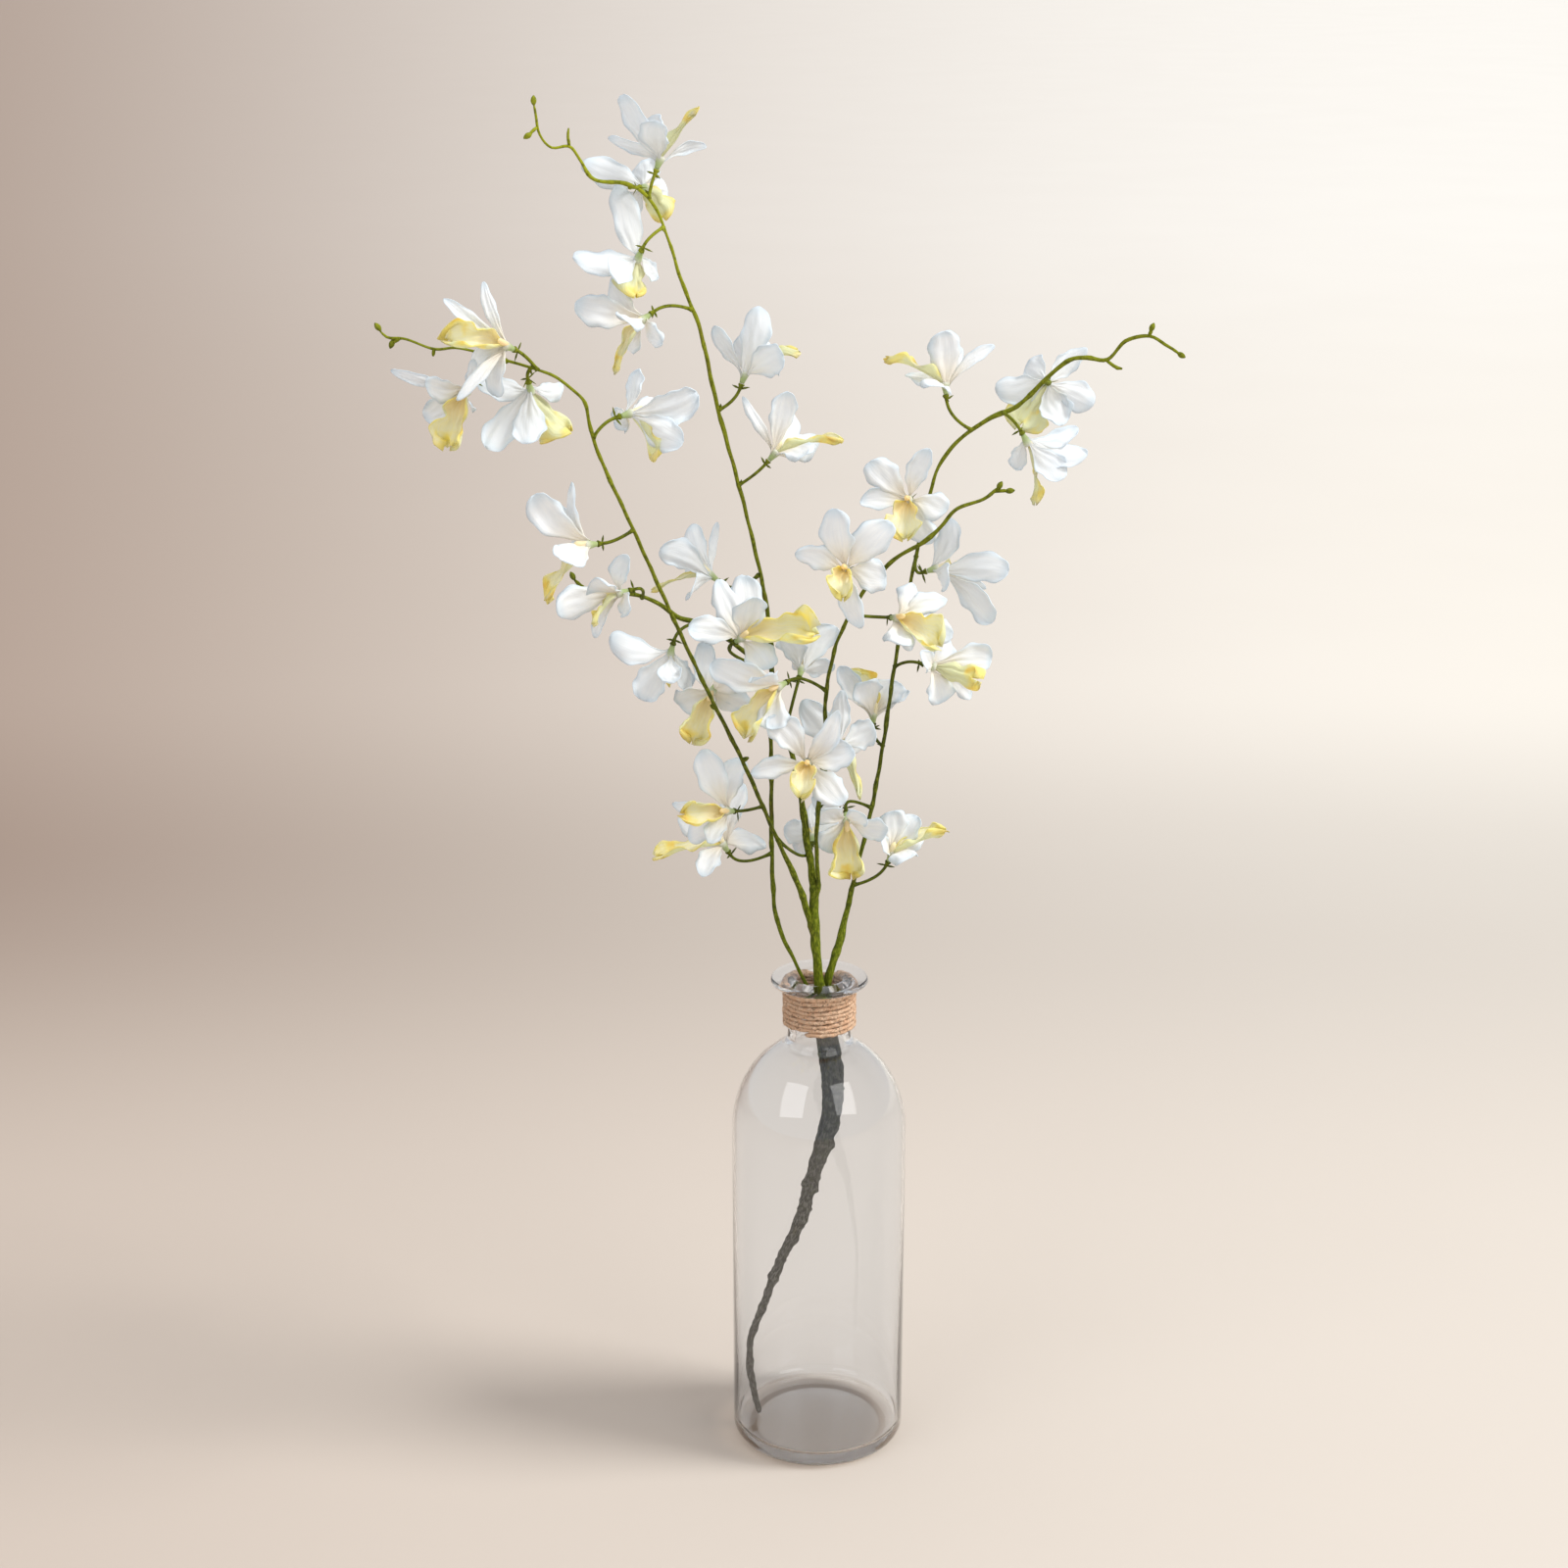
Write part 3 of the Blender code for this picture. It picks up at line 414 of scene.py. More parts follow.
# Stems. Moulded plastic over wire, olive green and darker low down, with slight ridges and
# knots. The trunk splits above the mouth; two thinner stems stand beside it, cut off short.
TRUNK = [(-33.5, 0, 8.3, 1.4), (-37.5, 0, 28, 1.7), (-39, 0, 46, 1.8),
         (-37, 0, 60, 1.9), (-31, 0, 76, 2.1), (-25, 0, 93, 2.3), (-18.5, 0, 110, 2.6),
         (-11.5, 0, 125, 2.9), (-7.5, 0, 138, 3.2), (-4, 0, 152, 3.5), (1, 0, 168, 3.8),
         (6, 0, 186, 4.1), (8, 0, 204, 4.1), (7, 0, 221, 3.6), (4, 0, 238, 3),
         (1.5, -1.5, 256, 2.6), (0, -2, 272, 2.6), (-2, -2, 292, 2.5), (-3, -1, 312, 2.6),
         (-3, 1, 328, 2.2)]
ARCH = [(-3, -1, 312, 2.2), (-3.5, 1, 328, 2), (-7, 4, 350, 1.9), (-10, 7, 374, 1.55),
        (-17, 10, 404, 1.43), (-25, 11, 428, 1.34), (-36, 10, 448, 1.34), (-49, 5, 461, 1.27),
        (-62, -1, 470, 1.27), (-74, -8, 476, 1.27), (-86, -14, 486, 1.1), (-99, -20, 491, 0.95),
        (-112, -26, 494, 0.87), (-120, -30, 497, 0.79), (-124, -32, 501, 0.79)]
MIDDLE = [(-3, -1, 312, 2), (-1, -1, 328, 1.18), (-2, -5, 350, 1.11), (-1, -10, 374, 1.11),
          (2, -19, 412, 1.11), (2.5, -25, 440, 0.98), (7, -31, 466, 0.93), (14, -36, 484, 0.87),
          (23, -40, 500, 1.08), (38, -43, 516, 1.08), (50, -44, 523, 1.01), (59, -45, 532, 1.01),
          (67, -46, 541, 0.94), (79, -46, 545, 0.8), (86, -46, 551, 0.8)]
LEFT = [(-2.6, -1.5, 296, 1.75), (-5, -2, 306, 1.66), (-11, -8, 328, 1.66), (-24, -18, 362, 1.06),
        (-42, -30, 409, 1.06), (-58, -40, 446, 0.97), (-79, -52, 498, 0.97), (-93, -60, 534, 0.91),
        (-106, -65, 565, 0.91), (-112, -67, 584, 0.85), (-114, -67, 596, 0.82),
        (-120, -67, 603, 0.76), (-130, -66, 610, 0.71), (-144, -62, 614, 0.71),
        (-160, -58, 618, 0.66), (-175, -54, 621, 0.66), (-188, -50, 620, 0.64),
        (-203, -44, 624, 0.64), (-211, -41, 624, 0.64), (-215, -40, 627, 0.64)]
TALL_OUT = [(-8, 3, 270, 1.01), (-13, 4, 281, 1.01), (-19, 6, 293, 1.16), (-24, 10, 309, 1.16),
            (-25.5, 16, 339, 1.16), (-26, 24, 392, 1.16), (-26.5, 30, 457, 1.16),
            (-37, 34, 513, 1.01), (-53, 38, 574, 1.11), (-62, 38, 615, 1.04),
            (-71, 36, 640, 0.91), (-79, 34, 666, 0.73), (-87, 30, 683, 0.85),
            (-99, 24, 691, 0.91), (-113, 18, 693, 0.91), (-120, 14, 703, 0.78),
            (-125, 12, 710, 0.73), (-134, 8, 710, 0.66), (-139, 5, 717, 0.64),
            (-141, 1, 731, 0.64)]
RIGHT_OUT = [(4.6, 3, 270, 2.2), (7.5, 5, 281, 2.1), (11, 8, 292, 2.1), (18, 15, 321, 1.17),
             (28, 26, 361, 1.12), (34, 32, 395, 1.05), (40, 39, 437, 0.99), (48, 44, 481, 0.99),
             (55, 47, 515, 0.99), (60, 48, 537, 0.93), (66, 48, 549, 1.03), (74, 47, 558, 1.03),
             (87, 44, 568, 1.23), (102, 40, 576, 1.14), (114, 35, 589, 1.14),
             (126, 29, 601, 1.14), (135, 26, 603, 1.06), (146, 23, 603, 0.98),
             (154, 19, 613, 0.98), (165, 14, 616, 0.9), (174, 10, 612, 0.82),
             (180, 8, 608, 0.82)]
LEFT_STUB = [(-188, -50, 620, 0.8), (-188.5, -50.4, 616.5, 0.7)]
RIGHT_STUB = [(144, 23.6, 603, 0.9), (150, 21, 599, 0.8), (153, 20, 598.5, 0.7)]
TALL_STUB = [(-125, 12, 710, 0.9), (-125.5, 11, 715, 0.7), (-125, 10, 719, 0.6)]
LEFT_SIDE_TIP = [(-205, -43.5, 624, 0.8), (-209, -41, 621.5, 0.8)]
TALL_SIDE_TIP = [(-140, 3.5, 720, 0.8), (-144, 2, 716.5, 0.8)]
MIDDLE_SIDE_TIP = [(84, -46, 549, 0.9), (88, -46, 549.5, 0.9), (92, -46, 549.5, 0.8)]
RIGHT_SIDE_TIP = [(165, 14, 616, 0.8), (166.5, 13.5, 620, 0.8)]
MAIN_BUDS = [((-125, -32, 503), (-0.5, 0, 1)), ((-216, -40, 629), (-0.6, 0, 0.8)),
             ((-209.5, -41, 621), (-0.4, 0, -1)), ((87, -46, 552), (0.5, 0, 1)),
             ((92, -46, 549.5), (1, 0, 0.1))]
TALL_BUDS = [((-141, 0.5, 733), (0, 0, 1)), ((-144.5, 2, 716), (-1, 0, -0.6))]
RIGHT_BUDS = [((181, 8, 607.5), (1, 0, -0.6)), ((166.5, 13.5, 620.5), (0.4, 0, 1))]

# Blooms, stem by stem, numbered in this order: the height at which the pedicel leaves the stem,
# the seat at its end, where the face looks, the lip's reach and mouth radius, and five petals,
# each a kind, which is a width and how blunt the end is, and a reach from the seat to the tip.
BROAD = (17.0, 5.5)
SEPAL = (13.5, 3.0)
THIN = (8.0, 2.4)
TALL_BLOOMS = [
    (683, (-83, 31, 697), (0.35, 0.2, 0.9), (19, -5, 32), 5, (SEPAL, -17, 2, 36),
     (THIN, -26, 12, 13), (BROAD, 1, -18, 23), (THIN, 25, 14, 10), (BROAD, -4, 24, 22)),
    (689, (-92, 40, 687), (0.4, 0.8, -0.1), (12, 13, -13), 9, (BROAD, -28, 8, 14),
     (BROAD, 0, 18, 12), (SEPAL, -14, 16, -16), (SEPAL, 14, 24, -4), (SEPAL, 5, 27, 6)),
    (668, (-91, 26, 657), (-0.35, 0.4, -0.75), (-6, 3, -21), 11, (BROAD, -11, 2, 33),
     (BROAD, -32, -6, 0), (BROAD, -17, -22, -8), (SEPAL, 9, 14, -13), (SEPAL, -22, 12, -10)),
    (626, (-87, 28, 625), (-0.6, -0.35, -0.4), (-21, -8, -25), 6, (SEPAL, -20, 10, 17),
     (BROAD, -37, -4, 5), (BROAD, -12, -26, 4), (SEPAL, 6, -22, -11), (SEPAL, -16, 14, -20)),
    (574, (-41, 42, 587), (0.3, 0.2, 0.85), (25, 8, 20), 7, (BROAD, 7, 0, 39),
     (SEPAL, -17, 8, 26), (BROAD, 23, -13, 16), (SEPAL, 17, 24, 17), (BROAD, -2, 26, 20)),
    (535, (-27, 36, 548), (0.6, 0.1, 0.65), (32, 2, 16), 7, (BROAD, 9, -4, 37),
     (THIN, -15, 6, 30), (BROAD, 18, -20, 8), (SEPAL, 12, 24, 22), (BROAD, 24, 20, 6)),
    (488, (-54, 40, 483), (-0.7, 0.15, 0.5), (-34, 6, -1), 4, (BROAD, -30, -8, 18),
     (SEPAL, -14, 10, 28), (THIN, 1, 14, 28), (BROAD, -16, -20, -4), (SEPAL, -16, 28, 3)),
    (339, (-49, 10, 342), (-0.45, -0.2, 0.75), (-34, -8, 7), 8, (SEPAL, 9, 8, 36),
     (BROAD, 20, 15, 3), (SEPAL, -13, -20, -8), (BROAD, -24, 14, 18), (SEPAL, -14, 22, -10)),
]
LEFT_BLOOMS = [
    (612, (-147.5, -70, 623), (-0.6, -0.55, 0.4), (-27, -13, 9), 9, (THIN, -33, 4, 23),
     (THIN, -14, 8, 29), (BROAD, -10, -4, -22), (THIN, -26, -14, -22), (SEPAL, -22, 8, -12)),
    (616, (-169, -62, 605), (-0.35, -0.65, -0.5), (-12, -10, -26), 10, (THIN, -39, -4, 7),
     (SEPAL, -25, 8, -18), (THIN, 3, -12, 14), (SEPAL, -21, -10, 3), (BROAD, -9, 20, -12)),
    (613, (-142, -58, 605), (0.1, 0.45, -0.8), (13, 8, -25), 11, (BROAD, -20, -4, -33),
     (BROAD, 1, -12, -29), (SEPAL, -25, 6, 0), (SEPAL, 16, 9, -3), (SEPAL, 0, 22, -20)),
    (580, (-98, -60, 589), (0.7, 0.3, 0.15), (20, 4, -17), 8, (SEPAL, 8, 14, 21),
     (BROAD, 37, 0, 10), (BROAD, 29, -8, -11), (SEPAL, -4, 22, -6), (SEPAL, 18, 26, 4)),
    (533, (-110, -64, 527), (-0.7, -0.35, 0.0), (-28, -8, -21), 8, (BROAD, -30, -4, 25),
     (THIN, -12, 8, 29), (BROAD, -17, -22, -3), (SEPAL, -22, 20, 14), (SEPAL, -10, 22, -14)),
    (378, (-45, -24, 376), (-0.65, -0.6, 0.2), (-23, -14, 4), 8, (BROAD, -17, 0, 33),
     (BROAD, 2, 4, 28), (THIN, -33, 8, 2), (BROAD, -26, 10, -16), (SEPAL, -12, -17, -12)),
    (358, (-4, 20, 343), (0.1, 0.85, 0.3), (3, 24, -2), 7, (BROAD, -15, 8, 6), (BROAD, 14, 14, 8),
     (SEPAL, 2, 24, 16), (SEPAL, -8, 20, -12), (SEPAL, 10, 22, -10)),
]
ARCH_BLOOMS = [
    (471, (-76, -12, 462), (-0.25, -0.05, -0.9), (-10, 12, -22), 8, (BROAD, -31, -4, 4),
     (BROAD, -16, -8, -27), (SEPAL, 2, -22, -14), (BROAD, 12, 12, -26), (SEPAL, -10, 22, -14)),
    (440, (-54, -14, 442), (-0.3, -0.5, -0.6), (-12, -12, -27), 10, (BROAD, 13, 8, -17),
     (BROAD, -20, 5, -14), (SEPAL, -6, 18, 18), (BROAD, 13, -14, 12), (SEPAL, 2, 20, -15)),
    (445, (-44, -6, 462), (0.6, -0.5, 0.5), (36, -11, 11), 12, (BROAD, -10, 8, 30),
     (BROAD, 5, 12, 31), (BROAD, 9, -10, 27), (BROAD, -24, -10, 10), (BROAD, 18, -12, -11)),
    (408, (-11, 16, 437), (0.2, 0.6, 0.6), (2, 24, 16), 8, (BROAD, 19, 10, 25),
     (BROAD, -7, 5, 21), (SEPAL, 6, 26, 14), (SEPAL, -6, 24, 2), (SEPAL, 18, 20, 0)),
    (488, (-97, -30, 495), (-0.75, -0.25, -0.15), (-20, -10, -11), 5, (BROAD, -36, -5, -9),
     (SEPAL, 0, -2, 19), (THIN, -18, 2, -25), (SEPAL, 2, -18, -8), (BROAD, -16, -18, 10)),
]
MIDDLE_BLOOMS = [
    (501, (12, -50, 511), (-0.15, -0.9, 0.2), (-3, -21, -5), 8, (BROAD, -5, -10, 33),
     (BROAD, 21, -8, 26), (SEPAL, -26, -8, 9), (BROAD, 20, -6, -4), (SEPAL, 8, -5, -28)),
    (484, (35, -26, 480), (0.5, -0.65, 0.15), (22, -15, -7), 9, (BROAD, 6, -18, -10),
     (BROAD, 29, 6, -10), (BROAD, 14, 8, 15), (SEPAL, 27, 10, 6), (SEPAL, 12, 6, -19)),
    (441, (-18, -30, 447), (-0.6, -0.55, -0.2), (-22, -12, -22), 9, (BROAD, -38, -6, 12),
     (BROAD, -6, -16, -20), (BROAD, -12, -24, 11), (SEPAL, -26, 14, 2), (SEPAL, -8, 20, -14)),
    (383, (-7, -30, 405), (-0.05, -0.95, 0.1), (-3, -21, -8), 9, (BROAD, -21, -10, 26),
     (SEPAL, 15, -8, 30), (BROAD, 23, -8, 9), (SEPAL, -29, -6, -4), (BROAD, 18, -8, -20)),
    (372, (9, 4, 402), (0.25, 0.65, 0.0), (13, 8, -26), 5, (SEPAL, 2, 8, 29), (BROAD, 14, 18, -5),
     (BROAD, 20, 10, 8), (BROAD, -19, 10, 21), (SEPAL, -8, 22, -6)),
]
RIGHT_BLOOMS = [
    (562, (65, 44, 581), (-0.1, 0.05, 0.95), (-26, 2, 24), 8, (BROAD, -2, -5, 34),
     (THIN, 25, 6, 25), (SEPAL, -20, 8, 8), (BROAD, -9, -20, 9), (BROAD, 4, 26, 20)),
    (589, (118, 46, 587), (0.0, 0.85, -0.15), (-12, 9, -22), 9, (BROAD, -10, 18, 9),
     (BROAD, -26, 8, -6), (SEPAL, 21, 12, 16), (BROAD, 25, 8, -13), (BROAD, 7, 4, -24)),
    (572, (104, 30, 563), (0.45, 0.0, -0.75), (13, 2, -34), 6, (BROAD, 33, -4, -12),
     (SEPAL, 30, 9, 0), (BROAD, 20, -11, -22), (SEPAL, -4, 8, -19), (SEPAL, 14, 20, -18)),
    (505, (46.5, 30, 529), (-0.2, -0.9, 0.15), (-4, -20, -12), 9, (BROAD, -22, -8, 21),
     (SEPAL, 9, -8, 28), (SEPAL, -26, -8, 1), (BROAD, 19, -10, -4), (BROAD, 12, -8, -20)),
    (495, (56, 36, 489), (0.7, 0.05, 0.2), (22, 18, -8), 8, (SEPAL, 13, 6, 27),
     (BROAD, 43, -4, 0), (BROAD, 33, -6, -27), (SEPAL, 8, -21, -3), (THIN, 32, 16, -12)),
    (436, (55, 30, 440), (0.7, -0.15, -0.15), (28, -11, -5), 9, (BROAD, 37, 5, 1),
     (SEPAL, -3, -18, 11), (SEPAL, 25, 8, -20), (BROAD, 12, 16, 10), (BROAD, 10, -8, -19)),
    (394, (29, 44, 403), (0.0, 0.05, 0.95), (-7, 8, 27), 8, (SEPAL, -18, 2, 32),
     (BROAD, -5, -14, 26), (BROAD, 14, 8, 21), (SEPAL, 18, 12, 14), (BROAD, -4, 24, 16)),
    (361, (14, 16, 362), (0.05, -0.5, -0.6), (3, -10, -34), 12, (BROAD, -14, -14, 8),
     (BROAD, -11, -8, -20), (BROAD, 22, -9, -7), (SEPAL, -16, 10, 6), (SEPAL, 10, -16, 4)),
    (321, (37, 22, 332), (0.35, -0.1, 0.8), (25, 2, 20), 8, (BROAD, 2, 0, 29), (BROAD, 16, 9, 23),
     (BROAD, 11, -20, 11), (SEPAL, 20, 18, 8), (SEPAL, -6, -15, 15)),
]
PEDICEL_RADIUS = 0.85
CALYX_RADIUS = 1.75
CALYX_LENGTH = 2.5
BUD_RADIUS = 2.1
BUD_LENGTH = 5.0
STEM_STEP = 2.2
STEM_SIDES = 12
KNOT_SPACING = 26
WINDING_STEP = 13.0
BARK_TOP = 262
PEDICEL_TONE = 0.3
BUD_TONE = 0.35
SCALE_TONE = 0.6
ROOT_BROWN = (0.030, 0.028, 0.021)
MOUTH_GREEN = (0.100, 0.132, 0.004)
DARK_GREEN = (0.054, 0.070, 0.003)
MIDDLE_GREEN = (0.176, 0.198, 0.008)
TIP_GREEN = (0.315, 0.342, 0.018)
BARK_GREY = (0.20, 0.19, 0.165)
# Pale yellow streaks higher up: partly mottling, partly painted highlight.
BRIGHT_STREAK_AND_HIGHLIGHT = (0.33, 0.345, 0.035)
DARK_SPECK = (0.030, 0.036, 0.005)
DARK_STREAK = (0.042, 0.052, 0.008)
BROWN_PATCH = (0.085, 0.050, 0.014)
PEDICEL_GREEN = (0.045, 0.070, 0.016)


def smooth_route(route, step):
    """A smooth curve through a route's points, which may carry a radius as fourth number.

    Each stretch between two points is the cubic whose slope at a point is half the way from
    the point before it to the point after it.
    """
    knots = np.array(route, float)
    before = np.concatenate([2 * knots[:1] - knots[1:2], knots, 2 * knots[-1:] - knots[-2:-1]])
    run = run_along(knots[:, :3])
    place = np.linspace(0.0, run[-1], max(int(run[-1] / step) + 1, 4))
    i = np.clip(np.searchsorted(run, place, side="right") - 1, 0, len(knots) - 2)
    share = ((place - run[i]) / (run[i + 1] - run[i]))[:, None]
    a, b, c, d = before[i], before[i + 1], before[i + 2], before[i + 3]
    return 0.5 * (2 * b + (c - a) * share + (2 * a - 5 * b + 4 * c - d) * share ** 2
                  + (3 * b - 3 * c + d - a) * share ** 3)


def up_the_trunk(top, bottom, start_angle, turn, radius):
    """Points that lie along the trunk from the bottom height to the top one, slowly winding,
    as a spiral a little wider sideways than the trunk."""
    trunk = np.array(TRUNK, float)
    height = np.linspace(top, bottom, int(round((top - bottom) / WINDING_STEP)) + 1)
    share = np.linspace(0.0, 1.0, len(height))
    x, y, thickness = [np.interp(height, trunk[:, 2], trunk[:, k]) for k in (0, 1, 3)]
    here = radius * (1.0 - 0.25 * share)
    angle = np.radians(start_angle + turn * share)
    away = thickness + here + GAP
    return np.stack([x + away * 1.12 * np.cos(angle), y + away * np.sin(angle),
                     height, here], 1)[::-1].tolist()


def stem_tube(route, seed):
    """A stem along a route. Its radius has soft ridges that wind slowly round it, deeper in
    the bottle, and a slow swelling along it with a few small knots, each a sum of sines and
    bell curves."""
    draw = np.random.default_rng(seed)
    curve = smooth_route(route, STEM_STEP)
    path = curve[:, :3]
    run = run_along(path)
    phase = draw.uniform(0, 2 * np.pi, 4)
    bark = 1 + 1.6 * np.clip((BARK_TOP - path[:, 2:]) / 40, 0, 1)
    knots = draw.uniform(0, run[-1], int(run[-1] / KNOT_SPACING) + 1)
    swell = 1 + 0.05 * np.sin(run * 0.21 + phase[0]) + 0.04 * np.sin(run * 0.53 + phase[1])
    swell += 0.22 * np.exp(-((run[:, None] - knots) / 1.9) ** 2).sum(1)
    around, along = round_angles(STEM_SIDES)[None, :], run[:, None]
    twist = 0.06 * np.cos(3 * around + along * 0.10 + phase[2])
    twist += 0.04 * np.cos(2 * around - along * 0.31 + phase[3])
    twist += 0.05 * (bark - 1) * np.sin(5 * around + along * 0.62)
    bend = 0.16 * np.stack([np.sin(run * 0.33 + phase[k]) for k in range(3)], 1)
    fade = np.minimum(np.minimum(run, run[-1] - run) / 8.0, 1.0)[:, None]
    radius = np.maximum(curve[:, 3], 0.4) * swell
    radius[0] *= 0.7
    radius[-1] *= 0.6
    return tube(path + bend * fade, radius, 1 + bark * twist)


def point_at_height(route, height):
    """The first point along a route that reaches a height."""
    knots = np.array(route, float)
    after = int(np.argmax(knots[:, 2] >= height))
    low, high = knots[after - 1], knots[after]
    return (low + (high - low) * (height - low[2]) / (high[2] - low[2]))[:3]


def unit(vector):
    """The vector at a length of 1."""
    vector = np.array(vector, float)
    return vector / np.linalg.norm(vector)


def leaflet(foot, direction, outward, length, width):
    """A thin pointed scale: its half-width is a sine that ends in a point, and it bends
    outwards with the square of the way along."""
    share = np.linspace(0.0, 1.0, 7)
    path = (foot + np.outer(share * length, direction)
            + np.outer(0.35 * length * share ** 2, outward))
    radius = width * np.sin(np.pi * (0.18 + 0.80 * share)) + 0.03
    flat = np.tile(0.62 + 0.38 * np.cos(2 * round_angles(6)), (7, 1))
    return tube(path, radius, flat, SCALE_TONE)


def pedicel_parts(route, row, seed):
    """A thin arched stalk, a quadratic curve, that swells into a calyx cup at the bloom's
    seat, with a scale at its foot and three or four pointed scales round the calyx."""
    height, seat, face = row[0], np.array(row[1], float), unit(row[2])
    root = point_at_height(route, height)
    neck = seat - face * CALYX_LENGTH
    bend = neck - face * 0.45 * np.linalg.norm(neck - root)
    share = np.linspace(0.0, 1.0, 14)[:, None]
    stalk = (1 - share) ** 2 * root + 2 * share * (1 - share) * bend + share ** 2 * neck
    cup = neck + np.outer(np.array([0.35, 0.7, 1.0]) * CALYX_LENGTH, face)
    radius = np.concatenate([PEDICEL_RADIUS * (1 + 0.7 * np.exp(-(share[:, 0] / 0.07) ** 2)),
                             [1.15, 1.6, CALYX_RADIUS]])
    radius[len(stalk) - 1] = 1.0
    ridges = 1 + 0.06 * np.cos(3 * round_angles(8)[None, :] + np.linspace(0, 6, 17)[:, None])
    parts = [tube(np.concatenate([stalk, cup]), radius, ridges, PEDICEL_TONE)]
    draw = np.random.default_rng(seed)
    side = unit(np.cross(face, (0.31, 0.52, 0.8)))
    other = np.cross(face, side)
    count = int(draw.integers(3, 5))
    for k in range(count):
        angle = 2 * np.pi * (k + draw.uniform(-0.25, 0.25)) / count
        away = np.cos(angle) * side + np.sin(angle) * other
        lean = unit(away * draw.uniform(0.5, 1.2) + face * draw.uniform(-0.5, 0.6))
        parts.append(leaflet(neck + away * 0.9, lean, away, draw.uniform(2.0, 3.8), 0.55))
    start = unit(stalk[1] - stalk[0])
    parts.append(leaflet(root + start * 0.5, unit(start + 0.5 * side), side, 3.4, 0.8))
    return parts


def bud_part(centre, lean, seed):
    """A closed bud: an egg whose radius is a sine raised to 0.8, with five faint ribs."""
    share = np.linspace(0.0, 1.0, 12)
    path = np.array(centre, float) + np.outer((share - 0.5) * BUD_LENGTH, unit(lean))
    radius = 0.68 * BUD_RADIUS * np.sin(np.pi * (0.04 + 0.93 * share)) ** 0.8
    ribs = np.tile(1 + 0.07 * np.cos(5 * round_angles(15) + seed), (12, 1))
    return tube(path, radius, ribs, BUD_TONE)


def stem_green():
    """Olive plastic, by height dark grey-brown in the glass, dark green above it and
    yellow-green at the tips, with mottled bands along it, lengthwise streaks, brown patches
    and a dull shine. Higher up, pale yellow streaks are partly mottling and partly painted
    highlight."""
    material, nodes, shader, _output = new_material("stem_olive_green", {
        "Specular IOR Level": 0.12})
    where = nodes.object_place()
    height = nodes.add("ShaderNodeSeparateXYZ", {0: where}).outputs[2]
    blotch = nodes.noise(where, 60.0, 3.0)
    speck = nodes.noise(where, 420.0, 2.0)
    place, _round_share, _length = nodes.surface_place()
    along = nodes.add("ShaderNodeMapping", {"Vector": place, "Scale": (9.0, 0.30, 1.0)})
    streak = nodes.noise(along.outputs[0], 1.0, 4.0, 0.65)
    uneven = nodes.times(nodes.maths("SUBTRACT", blotch, 0.5), 0.08)
    level = nodes.maths("ADD", height, uneven)
    bark = nodes.times(nodes.ramp(level, 0.25, 0.21), nodes.ramp(streak, 0.46, 0.62))
    bark = nodes.times(bark, nodes.ramp(height, 0.20, 0.11, 0.5, 1.0))
    # Pale yellow streaks higher up: partly mottling, partly painted highlight.
    streak_and_highlight = nodes.times(nodes.ramp(level, 0.24, 0.29, 0.0, 0.45),
                         nodes.ramp(streak, 0.54, 0.38))
    green = nodes.coats(ROOT_BROWN, (nodes.ramp(level, 0.225, 0.275), MOUTH_GREEN),
                        (nodes.ramp(level, 0.29, 0.37), DARK_GREEN),
                        (nodes.ramp(level, 0.42, 0.58), MIDDLE_GREEN),
                        (nodes.ramp(level, 0.58, 0.70), TIP_GREEN),
                        (bark, BARK_GREY), (streak_and_highlight, BRIGHT_STREAK_AND_HIGHLIGHT),
                        (nodes.ramp(speck, 0.50, 0.68, 0.0, 0.5), DARK_SPECK),
                        (nodes.ramp(streak, 0.48, 0.75, 0.0, 0.5), DARK_STREAK),
                        (nodes.ramp(blotch, 0.62, 0.78, 0.0, 0.5), BROWN_PATCH),
                        (nodes.times(nodes.mark("tone"), 0.5), PEDICEL_GREEN))
    grain = nodes.maths("MULTIPLY_ADD", speck, 0.8, streak)
    nodes.feed(shader, {"Base Color": green, "Roughness": nodes.ramp(streak, 0.2, 0.8, 0.45, 0.70),
                        "Normal": nodes.bump(grain, 0.8, 0.0006)})
    return material


STEM_MATERIAL = stem_green()


def nub(route, height, lean):
    """A short stump on a stem, as a route of its own: a foot on the stem and two points out."""
    reach = np.outer([0.0, 2.4, 4.0], lean)
    return np.column_stack([point_at_height(route, height) + reach, [1.3, 1.1, 0.9]]).tolist()


def make_stem(name, node, tubes, buds, branches, seed):
    """One stem piece: its tubes, its pedicels with their scales, and its buds. branches pairs
    each table of blooms with the route that carries them."""
    parts = [stem_tube(route, seed + i) for i, route in enumerate(tubes)]
    rows = [(route, row) for table, route in branches for row in table]
    for i, (route, row) in enumerate(rows):
        parts += pedicel_parts(route, row, seed + 100 + i)
    parts += [bud_part(centre, lean, seed + i) for i, (centre, lean) in enumerate(buds)]
    points, faces, uv, tone = joined(parts)
    new_piece(name, points, faces, STEM_MATERIAL, [node], uv=uv, marks={"tone": tone})


TALL = up_the_trunk(256, 108, 150, -50, 1.6) + TALL_OUT
RIGHT = up_the_trunk(254, 186, 48, 8, 2.2) + RIGHT_OUT
LEFT_NUBS = [nub(LEFT, 435, (-0.75, -0.3, 0.6)), nub(LEFT, 405, (0.8, -0.3, 0.5))]
make_stem("main_stem", "stem_main",
          [TRUNK, ARCH, MIDDLE, LEFT, LEFT_STUB, LEFT_SIDE_TIP, MIDDLE_SIDE_TIP, *LEFT_NUBS],
          MAIN_BUDS, [(ARCH_BLOOMS, ARCH), (MIDDLE_BLOOMS, MIDDLE), (LEFT_BLOOMS, LEFT)], 20)
make_stem("tall_stem", "stem_tall", [TALL, TALL_STUB, TALL_SIDE_TIP], TALL_BUDS,
          [(TALL_BLOOMS, TALL)], 300)
